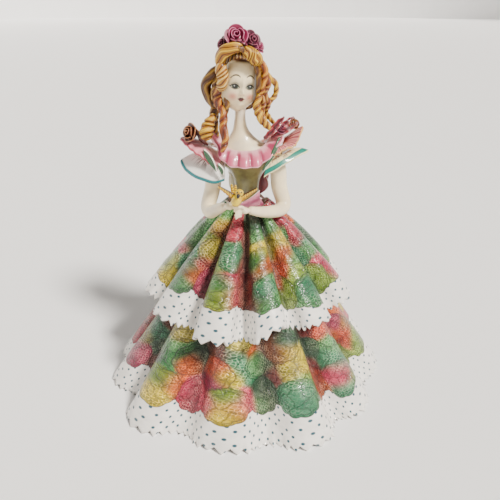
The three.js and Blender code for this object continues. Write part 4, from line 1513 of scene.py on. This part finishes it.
class FIGURINE_OT_bow(bpy.types.Operator):
    """Builds the bow at the back of the sash, with two upright loops, two ends and a knot"""

    bl_idname = "figurine.bow"
    bl_label = "Bow"

    def execute(self, context):
        thick = context.scene.figurine_lady.petal_thickness * 0.8
        mauve = bpy.data.materials["mauve_ribbon_glaze"]
        white = "#efe8e2"
        burgundy = petal_glaze(
            "burgundy_ribbon_glaze", "#7a3044", "#a05a6c", white, rim_from=0.84, two_edged=True
        )
        pale = petal_glaze(
            "pale_ribbon_glaze", "#f2f0e0", "#f4f3e8", white, rim_from=0.84, two_edged=True
        )

        def loop(side, tip, width):
            spine = [
                (side * 4, 10.5, 173), (side * 12.5, 10, 181), (side * 14.5, 11, tip - 7),
                (side * 14, 15, tip), (side * 14, 18.5, tip - 8), (side * 5, 17, 175),
            ]

            def place(u, v):
                point = through(spine, u)
                wide = width * (0.3 + 0.7 * np.abs(np.sin(2 * math.pi * u)))
                point[:, 0] += mix(-wide, wide, v)
                point[:, 1] -= 0.8 * np.sin(math.pi * v)
                return point

            return place

        def end(side):
            def place(u, v):
                notch = 4 * np.abs(v - 0.5) * smoothstep(0.75, 1, u)
                wave = 0.8 * np.sin(2 * math.pi * (u * 1.6 + side * 0.2)) * u
                x = side * mix(3, 14, u) + mix(-5.5, 5.5, v) * mix(0.5, 1, u)
                return np.stack([x, mix(13, 46, u) + notch, mix(175.5, 151, u**1.3) + wave], axis=-1)

            return place

        for side, word, tip, width, glaze in (
            (-1, "left", 199.5, 2.8, pale),
            (1, "right", 196.5, 6, burgundy),
        ):
            place = loop(side, tip, width)
            hand_in(sheet(f"bow_loop_{word}", 48, 6, place, thick), "rose_glaze", glaze)
            hand_in(sheet(f"bow_end_{word}", 32, 8, end(side), thick), "rose_glaze", mauve)
        line = [(0, 11, 179), (0, 17.5, 177), (0, 18.5, 172), (0, 13, 169.5)]
        radii = [4.2, 4.8, 4.8, 4.2]
        knot = tube("bow_knot", line, radii, sides=40, step=0.5, lobes=5, groove=0.12, flat=0.62)
        hand_in(knot, "rose_glaze", mauve)
        return {"FINISHED"}


# Hair


def hair_glaze(name, tones, strands, spin=1.4):
    """Amber glaze that breaks pale on the strands and lies dark in the grooves between them.

    Its lines are coarser than hair, as a comb leaves them in clay.
    """
    crest, body, groove = tones
    material, tree, shader = new_glaze(name, roughness=0.45, coat=0.2)
    part = add(tree, "SeparateXYZ", add(tree, "UVMap", uv_map="UVMap"), output="all")
    turn = add(tree, "Math", part[1], 2 * math.pi, operation="MULTIPLY")
    cosine = add(tree, "Math", turn, operation="COSINE")
    sine = add(tree, "Math", turn, operation="SINE")
    place = add(tree, "CombineXYZ", cosine, sine, part[0])
    slow = add(tree, "Mapping", {"Vector": place, "Scale": (spin, spin, 7.0)})
    blotch = add(tree, "TexNoise", {"Vector": slow, "Scale": 1.0, "Detail": 3.0})
    quick = add(tree, "Mapping", {"Vector": place, "Scale": (spin * 5, spin * 5, 3.5)})
    comb = add(tree, "TexNoise", {"Vector": quick, "Scale": 1.0, "Detail": 2.0})
    strand = add(tree, "Math", turn, float(strands), operation="MULTIPLY")
    wave = add(tree, "Math", strand, operation="COSINE")
    shade = add(tree, "Math", comb, 2.2, wave, operation="MULTIPLY_ADD")
    high = add(tree, "MapRange", shade, 1.5, 2.5, **SMOOTH)
    deep = add(tree, "MapRange", shade, 0.62, 0.15, **SMOOTH)
    warm = add(tree, "MapRange", blotch, 0.4, 0.66, **SMOOTH)
    darker = tuple(c * k for c, k in zip(linear(body), (0.72, 0.54, 0.42)))
    base = add(tree, "Mix", warm, body, darker)
    base = add(tree, "Mix", high, base, crest)
    base = add(tree, "Mix", deep, base, groove)
    fine = add(tree, "Math", strand, 4.0, operation="MULTIPLY")
    fine = add(tree, "Math", fine, operation="COSINE")
    height = add(tree, "Math", comb, 3.0, fine, operation="MULTIPLY_ADD")
    finish_glaze(tree, shader, base, height, 0.4, 0.0003)
    return material


# Rolls over the brow and at the nape, in the same way as the hanging curls

ROLLS = {
    "roll_left": (
        [
            (-2.5, -15.5, 303.5), (-10, -16.5, 303.8), (-16.8, -14.5, 300.8), (-20.4, -12, 295.5),
            (-20, -10, 290),
        ],
        [3.2, 4.4, 4.9, 4.6, 3.6], 5, 0.25, "gold",
    ),
    "roll_right": (
        [(-3, -15.5, 303), (2.2, -16, 300), (7, -14, 296), (10.6, -10.5, 291)],
        [3.4, 5, 5.5, 3.8], 6, 1.1, "gold",
    ),
    "roll_knot": (
        [(-8, -17, 303), (-4.5, -18.5, 303.5), (-1, -18, 300)],
        [1.8, 2.4, 1.8], 2, 1.0, "brown",
    ),
    "roll_nape": (
        [(-14, 14, 256), (-5, 17.5, 254), (4, 14, 256)],
        [3.4, 4.6, 3.4], 5, 0.6, "brown",
    ),
}


# The combed hair under the curls and the curls down the back, in millimetres

CAP_CENTRE = (-5, 4, 284)
CAP_RADII = (15.6, 13.6, 19.5)
BACK_CURL_RADII = [4.4, 5.2, 5.0, 3.2]


class FIGURINE_OT_hair(bpy.types.Operator):
    """Builds the rolls over the brow, the hanging ringlets and the curls down the back"""

    bl_idname = "figurine.hair"
    bl_label = "Hair"

    def execute(self, context):
        x, y, z = CAP_CENTRE
        made = {}

        def glaze(tone, strands, spin=1.4):
            key = f"{tone}_hair_glaze_{strands}"
            if key not in made:
                made[key] = hair_glaze(key, HAIR_GLAZES[tone], strands, spin)
            return made[key]

        def coil(name, points, radii, strands, turns, tone):
            shape = {"sides": max(40, strands * 10), "groove": 0.3 if strands < 4 else 0.16}
            piece = tube(name, points, radii, step=0.65, lobes=strands, turns=turns, **shape)
            hand_in(piece, "hair_glaze", glaze(tone, strands))

        # The cap is combed from the crown downwards: u runs down and v goes round.
        u, v = grid_shares(40, 240)
        angle, fall = 2 * math.pi * v, math.pi * u
        out = np.sin(fall) * (1 + 0.03 * np.cos(30 * angle) * np.sin(fall))
        wide, deep, tall = CAP_RADII
        across, back = x + wide * out * np.sin(angle), y + deep * out * np.cos(angle)
        points = np.stack([across, back, z + tall * np.cos(fall)], axis=-1)
        cap = laid_grid("hair_cap", 40, 240, points)
        close_seams(cap)
        hand_in(cap, "hair_glaze", glaze("brown", 30, 6))
        for name, shape in {**ROLLS, **CURLS}.items():
            coil(name, *shape)
        count = context.scene.figurine_lady.back_curls
        for i in range(count):
            side = (i / (count - 1) - 0.5) * 2
            far = 1 - abs(side)
            points = [
                (x + 9 * side, 11 + 3 * far, 292), (x + 14 * side, 17 + 3 * far, 280),
                (x + 15 * side, 17 + 3 * far, 265), (x + 14 * side, 14 + 2 * far, 253 - 3 * far),
            ]
            turns = 2.6 + 0.3 * (i % 3)
            tone = ("gold", "brown")[i % 2]
            coil(f"curl_back_{i + 1}", points, BACK_CURL_RADII, 3, turns, tone)
        return {"FINISHED"}


# Roses and buds, in millimetres

ROSE_SIZE = 10.0
THIN_PETAL = 1.5  # its thickness


def rose_pattern():
    """One rose, opening along +Z: a rolled heart, three inner petals and four outer ones."""

    def heart(u, v):
        angle = 2 * math.pi * 1.7 * u
        ruffle = 1 + 0.06 * np.sin(angle * 1.7) * v
        radius = ROSE_SIZE * (0.05 + 0.4 * u**0.9) * (0.8 + 0.2 * v) * ruffle
        height = ROSE_SIZE * (mix(-0.3, 0.72 - 0.2 * u, v) + 0.03 * np.sin(angle * 2.3) * v)
        return np.stack([radius * np.cos(angle), radius * np.sin(angle), height], axis=-1)

    def petal(turn, out, tall, flare):
        def place(u, v):
            across = 2 * u - 1
            angle = turn + 0.98 * across * (0.6 + 0.4 * v)
            lip = smoothstep(0.62, 1, v)
            radius = ROSE_SIZE * (out * (0.3 + 0.7 * v**0.5) + flare * lip * (1 - 0.5 * across**2))
            drop = 0.3 * np.abs(across) ** 3 * v + 0.1 * lip
            height = ROSE_SIZE * (mix(-0.35, tall, v) - drop)
            return np.stack([radius * np.cos(angle), radius * np.sin(angle), height], axis=-1)

        return place

    thick = 0.09 * ROSE_SIZE * MM
    parts = [sheet("heart", 56, 4, heart, thick)]
    for i in range(3):
        parts.append(sheet("petal", 14, 6, petal(2.1 * i + 0.4, 0.55, 0.62, 0.1), thick))
    for i in range(4):
        parts.append(sheet("petal", 16, 8, petal(1.57 * i, 0.74, 0.42, 0.26), thick))
    radii = [0.6 * ROSE_SIZE, 0.6 * ROSE_SIZE, 0.35 * ROSE_SIZE]
    parts.append(ball("calyx", (0, 0, -0.1 * ROSE_SIZE), radii, 24, 10))
    return join("rose_pattern", parts)


def copied_rose(pattern, name, centre, size, axis, stretch):
    """A copy of the rose with its own mesh, that wide, stretched along the axis that it opens along."""
    rose = pattern.copy()
    rose.data = pattern.data.copy()
    rose.name = rose.data.name = name
    bpy.context.collection.objects.link(rose)
    turn = Vector(axis).to_track_quat("Z", "Y").to_matrix().to_4x4()
    grow = Matrix.Diagonal((size / ROSE_SIZE, size / ROSE_SIZE, stretch * size / ROSE_SIZE, 1))
    rose.data.transform(Matrix.Translation(Vector(centre) * MM) @ turn @ grow)
    return rose


class FIGURINE_OT_roses(bpy.types.Operator):
    """Builds the roses on the head and the buds on the shoulders"""

    bl_idname = "figurine.roses"
    bl_label = "Roses and Buds"

    def execute(self, context):
        # These rose and bud glazes are painted near black at the roots of the petals, deep in the
        # bloom, as painted shade.
        red = petal_glaze("rose_glaze", "#1c030c", "#7e1a40", "#c4648a", rim_from=0.94)
        dark = petal_glaze("dark_rose_glaze", "#140308", "#4c0c28", "#9c4862", rim_from=0.94)
        olive = petal_glaze("olive_bud_glaze", "#160605", "#4c1c14", "#ac7044", rim_from=0.92)
        ruffle = petal_glaze(
            "burgundy_ruffle_glaze", "#430c16", "#8e2c38", "#dba592", rim_from=0.82, two_edged=True,
        )
        pattern = rose_pattern()
        blooms = {
            "rose_front": ((-8, -6.5, 310.5), 9.4, (0.05, -0.82, 0.6), 1, red),
            "rose_right": ((3.2, -3.8, 307.6), 8, (0.5, -0.75, 0.5), 1, dark),
            "rose_far_right": ((9.5, 0, 303), 5.6, (0.9, -0.45, 0.4), 1, red),
            "rose_left": ((-18, -3.5, 305), 6, (-0.75, -0.6, 0.4), 1, dark),
            "rose_back": ((-4, 7, 306), 8.8, (0, 0.8, 0.75), 1, red),
            "rose_back_left": ((-13, 8, 301), 5.8, (-0.8, 0.6, 0.5), 1, dark),
            "rose_back_right": ((6, 9, 301), 5.4, (0.6, 0.8, 0.5), 1, dark),
            "bud_shoulder_left": ((-46.5, -5, 236), 8.2, (-0.7, -0.65, 0.35), 1.2, olive),
            "bud_shoulder_right": ((28, -8, 240.5), 5.6, (0.35, -0.75, 0.6), 1.1, dark),
            "bud_shoulder_far_right": ((38.5, -3.5, 243), 5.6, (0.5, -0.7, 0.6), 1.3, olive),
        }
        for name, (centre, size, axis, stretch, glaze) in blooms.items():
            hand_in(copied_rose(pattern, name, centre, size, axis, stretch), "rose_glaze", glaze)
        bpy.data.objects.remove(pattern)
        sprays = {
            "petal_shoulder_right": (
                [(17, -11.5, 234), (24, -11, 243), (31, -8, 250)], 7, (0.6, -0.3, -0.5), ruffle,
            ),
            "petal_shoulder_low": (
                [(20, -11, 233), (31, -10, 239), (43, -5.5, 245)], 8, (0.5, -0.3, -0.6), ruffle,
            ),
            "petal_shoulder_inner": (
                [(14, -12.5, 233), (20, -12.5, 238), (28, -10, 246)], 6, (0.6, -0.3, -0.5), ruffle,
            ),
            "petal_shoulder_far": (
                [(27, -8, 240), (33, -7, 245), (39, -3, 249)], 5, (0.6, -0.3, -0.5), ruffle,
            ),
            "petal_shoulder_left": (
                [(-33, -8, 226), (-38, -9, 232), (-42, -8, 240)], 7, (0.6, -0.4, 0.4), olive,
            ),
            "leaf_under_roses": (
                [(-14, -10, 300), (-8, -15, 307), (-1, -17, 306)], 5, (0.3, -0.5, 0.8), dark,
            ),
        }
        for name, (spine, width, across, glaze) in sprays.items():
            place = leaf_place(spine, width, across, 0.8, frill=0.9)
            hand_in(sheet(name, 28, 8, place, THIN_PETAL * MM), "rose_glaze", glaze)
        return {"FINISHED"}


# Bird

TAIL_FEATHER = 1.4  # millimetres thick


class FIGURINE_OT_bird(bpy.types.Operator):
    """Builds the small bird with raised wings that she holds"""

    bl_idname = "figurine.bird"
    bl_label = "Bird"

    def execute(self, context):
        yellow = context.scene.figurine_lady.bird
        line = [(-9.5, -44.5, 186), (-9, -45.5, 189), (-7.8, -46.2, 193), (-6.2, -46, 197)]
        body = tube("bird_body", line, [2.2, 4.0, 4.1, 2.8], sides=32, step=0.5)
        head = ball("bird_head", (-5.8, -46.8, 198.2), (3.2, 3.2, 3.0))
        bird = join("bird_body", [body, head])
        modify(bird, "REMESH", mode="VOXEL", voxel_size=SMALL_VOXEL * MM)
        modify(bird, "SMOOTH", factor=0.5, iterations=4)
        glaze = plain_glaze("bird_yellow_glaze", yellow, "#b08410", 4)
        hand_in(bird, "bird_glaze", glaze)
        feathered = petal_glaze(
            "wing_glaze", "#9a6a10", yellow, "#4a2c0c", rim_from=0.88, lines=7, groove="#a06c10"
        )

        def wing(root, tip):
            root, tip = np.array(root, float), np.array(tip, float)

            def place(u, v):
                point = mix(root, tip, u[:, None])
                chord = mix(6.5, 2.2, u) * (1 + 0.08 * np.cos(2 * math.pi * 6 * u))
                point[:, 2] -= chord * (1 - v)
                point[:, 1] += 1.4 * np.sin(math.pi * v) * (1 - u)
                return point

            return place

        def feather(root, tip):
            middle = (np.array(root, float) + tip) / 2 + (0, 0.8, 0)
            return leaf_place([root, middle, tip], 3.4, (0.95, 0, 0.2), 0.5)

        for word, root, tip in (
            ("left", (-9, -45, 196), (-22.9, -45, 204)),
            ("right", (-5, -45, 195), (8.3, -45, 202)),
        ):
            place = wing(root, tip)
            piece = sheet(f"bird_wing_{word}", 30, 6, place, THIN_PETAL * MM)
            hand_in(piece, "bird_glaze", feathered)
        for word, tip in (("left", (-12.4, -40, 203)), ("right", (-9.2, -40, 202.4))):
            place = feather((-9.8, -43, 189), tip)
            piece = sheet(f"bird_tail_{word}", 24, 8, place, TAIL_FEATHER * MM)
            hand_in(piece, "bird_glaze", feathered)
        black = plain_glaze("black_underglaze", "#1c1512", "#2b211c")
        line = [(-6.2, -49, 197.8), (-6.8, -50.6, 196.6), (-7.2, -51.8, 195)]
        beak = tube("bird_beak", line, [1.7, 1.3, 0.5], sides=16, step=0.3)
        eyes = [
            ball("bird_eye", (-5.8 + across, -49.3, 199.4), (0.65, 0.5, 0.65), 16, 10)
            for across in (-1.7, 1.6)
        ]
        hand_in(join("bird_beak_and_eyes", [beak, *eyes]), "bird_glaze", black)
        return {"FINISHED"}


# Stage, with lengths in metres and angles in degrees

FLOOR_SIZE = 20
FLOOR_DROP = 0.0001  # keeps the table's face off the clay that stands on it
ROOM_RADIUS = 9
ROOM_HEIGHT = 5
SUN_WIDTH = 11
FILL_SIZE = 0.8
LIT_HEIGHT = 0.15  # height on the figurine that both lights aim at
CAMERA_PLACE = (0.0026, -0.4242, 0.3394)
CAMERA_DIP = 27.03
SENSOR_WIDTH = 36  # millimetres
FOCAL_LENGTH = 36  # millimetres


class FIGURINE_OT_stage(bpy.types.Operator):
    """Lays the pale table and sets the soft lights and the camera"""

    bl_idname = "figurine.stage"
    bl_label = "Table, Lights and Camera"

    def execute(self, context):
        settings = context.scene.figurine_stage
        select()
        bpy.ops.mesh.primitive_plane_add(size=FLOOR_SIZE, location=(0, 0, -FLOOR_DROP))
        floor = bpy.context.object
        select()
        bpy.ops.mesh.primitive_cylinder_add(
            vertices=96, radius=ROOM_RADIUS, depth=ROOM_HEIGHT, end_fill_type="NOTHING",
            location=(0, 0, ROOM_HEIGHT / 2),
        )
        table = join("table_and_far_wall", [bpy.context.object, floor])
        # Matt paint takes soft shadows and shows no reflection of her.
        paint = bpy.data.materials.new("matt_white_paint")
        paint.use_nodes = True
        shader = paint.node_tree.nodes["Principled BSDF"]
        shader.inputs["Base Color"].default_value = (*settings.floor, 1)
        shader.inputs["Roughness"].default_value = 0.6
        table.data.materials.append(paint)
        for kind, name, strength, place in (
            ("SUN", "key", settings.key_strength, (0.75, -0.55, 1.2)),
            ("AREA", "fill", settings.fill_power, (-0.8, -0.8, 0.6)),
        ):
            select()
            bpy.ops.object.light_add(type=kind, location=place)
            light = bpy.context.object
            light.name = name
            light.data.energy = strength
            light.data.color = settings.light
            if kind == "SUN":
                light.data.angle = math.radians(SUN_WIDTH)
            else:
                light.data.size = FILL_SIZE
            aim = Vector((0, 0, LIT_HEIGHT)) - Vector(place)
            light.rotation_euler = aim.to_track_quat("-Z", "Y").to_euler()
        world = bpy.data.worlds.new("soft_room")
        world.use_nodes = True
        background = world.node_tree.nodes["Background"]
        background.inputs["Color"].default_value = (*settings.room, 1)
        background.inputs["Strength"].default_value = settings.room_strength
        context.scene.world = world
        select()
        tilt = math.radians(90 - CAMERA_DIP)
        bpy.ops.object.camera_add(location=CAMERA_PLACE, rotation=(tilt, 0, 0))
        camera = bpy.context.object
        camera.data.sensor_width = SENSOR_WIDTH
        camera.data.lens = FOCAL_LENGTH
        context.scene.camera = camera
        return {"FINISHED"}


OPERATORS = (
    FIGURINE_OT_stage,
    FIGURINE_OT_skirts,
    FIGURINE_OT_bodice,
    FIGURINE_OT_skin,
    FIGURINE_OT_head,
    FIGURINE_OT_collar_and_sleeves,
    FIGURINE_OT_bow,
    FIGURINE_OT_hair,
    FIGURINE_OT_roses,
    FIGURINE_OT_bird,
)


class FIGURINE_PT_panel(bpy.types.Panel):
    """Lists the steps of the build and the sizes and colours that can be changed"""

    bl_label = "Crinoline Lady"
    bl_idname = "FIGURINE_PT_panel"
    bl_space_type = "VIEW_3D"
    bl_region_type = "UI"
    bl_category = "Figurine"

    def draw(self, context):
        for operator in OPERATORS:
            self.layout.operator(operator.bl_idname)
        for name in GROUPS:
            group = getattr(context.scene, name)
            box = self.layout.box()
            for key in group.bl_rna.properties.keys():
                if key not in ("rna_type", "name"):
                    box.prop(group, key)


GROUPS = {
    "figurine_skirts": FigurineSkirts,
    "figurine_lady": FigurineLady,
    "figurine_stage": FigurineStage,
}


def register():
    for group in GROUPS.values():
        bpy.utils.register_class(group)
    for key, group in GROUPS.items():
        setattr(bpy.types.Scene, key, PointerProperty(type=group))
    for operator in OPERATORS:
        bpy.utils.register_class(operator)
    bpy.utils.register_class(FIGURINE_PT_panel)


def unregister():
    bpy.utils.unregister_class(FIGURINE_PT_panel)
    for operator in reversed(OPERATORS):
        bpy.utils.unregister_class(operator)
    for key in GROUPS:
        delattr(bpy.types.Scene, key)
    for group in GROUPS.values():
        bpy.utils.unregister_class(group)


def main():
    register()
    bpy.ops.figurine.stage()
    bpy.ops.figurine.skirts()
    bpy.ops.figurine.bodice()
    bpy.ops.figurine.skin()
    bpy.ops.figurine.head()
    bpy.ops.figurine.collar_and_sleeves()
    bpy.ops.figurine.bow()
    bpy.ops.figurine.hair()
    bpy.ops.figurine.roses()
    bpy.ops.figurine.bird()


if __name__ == "__main__":
    main()
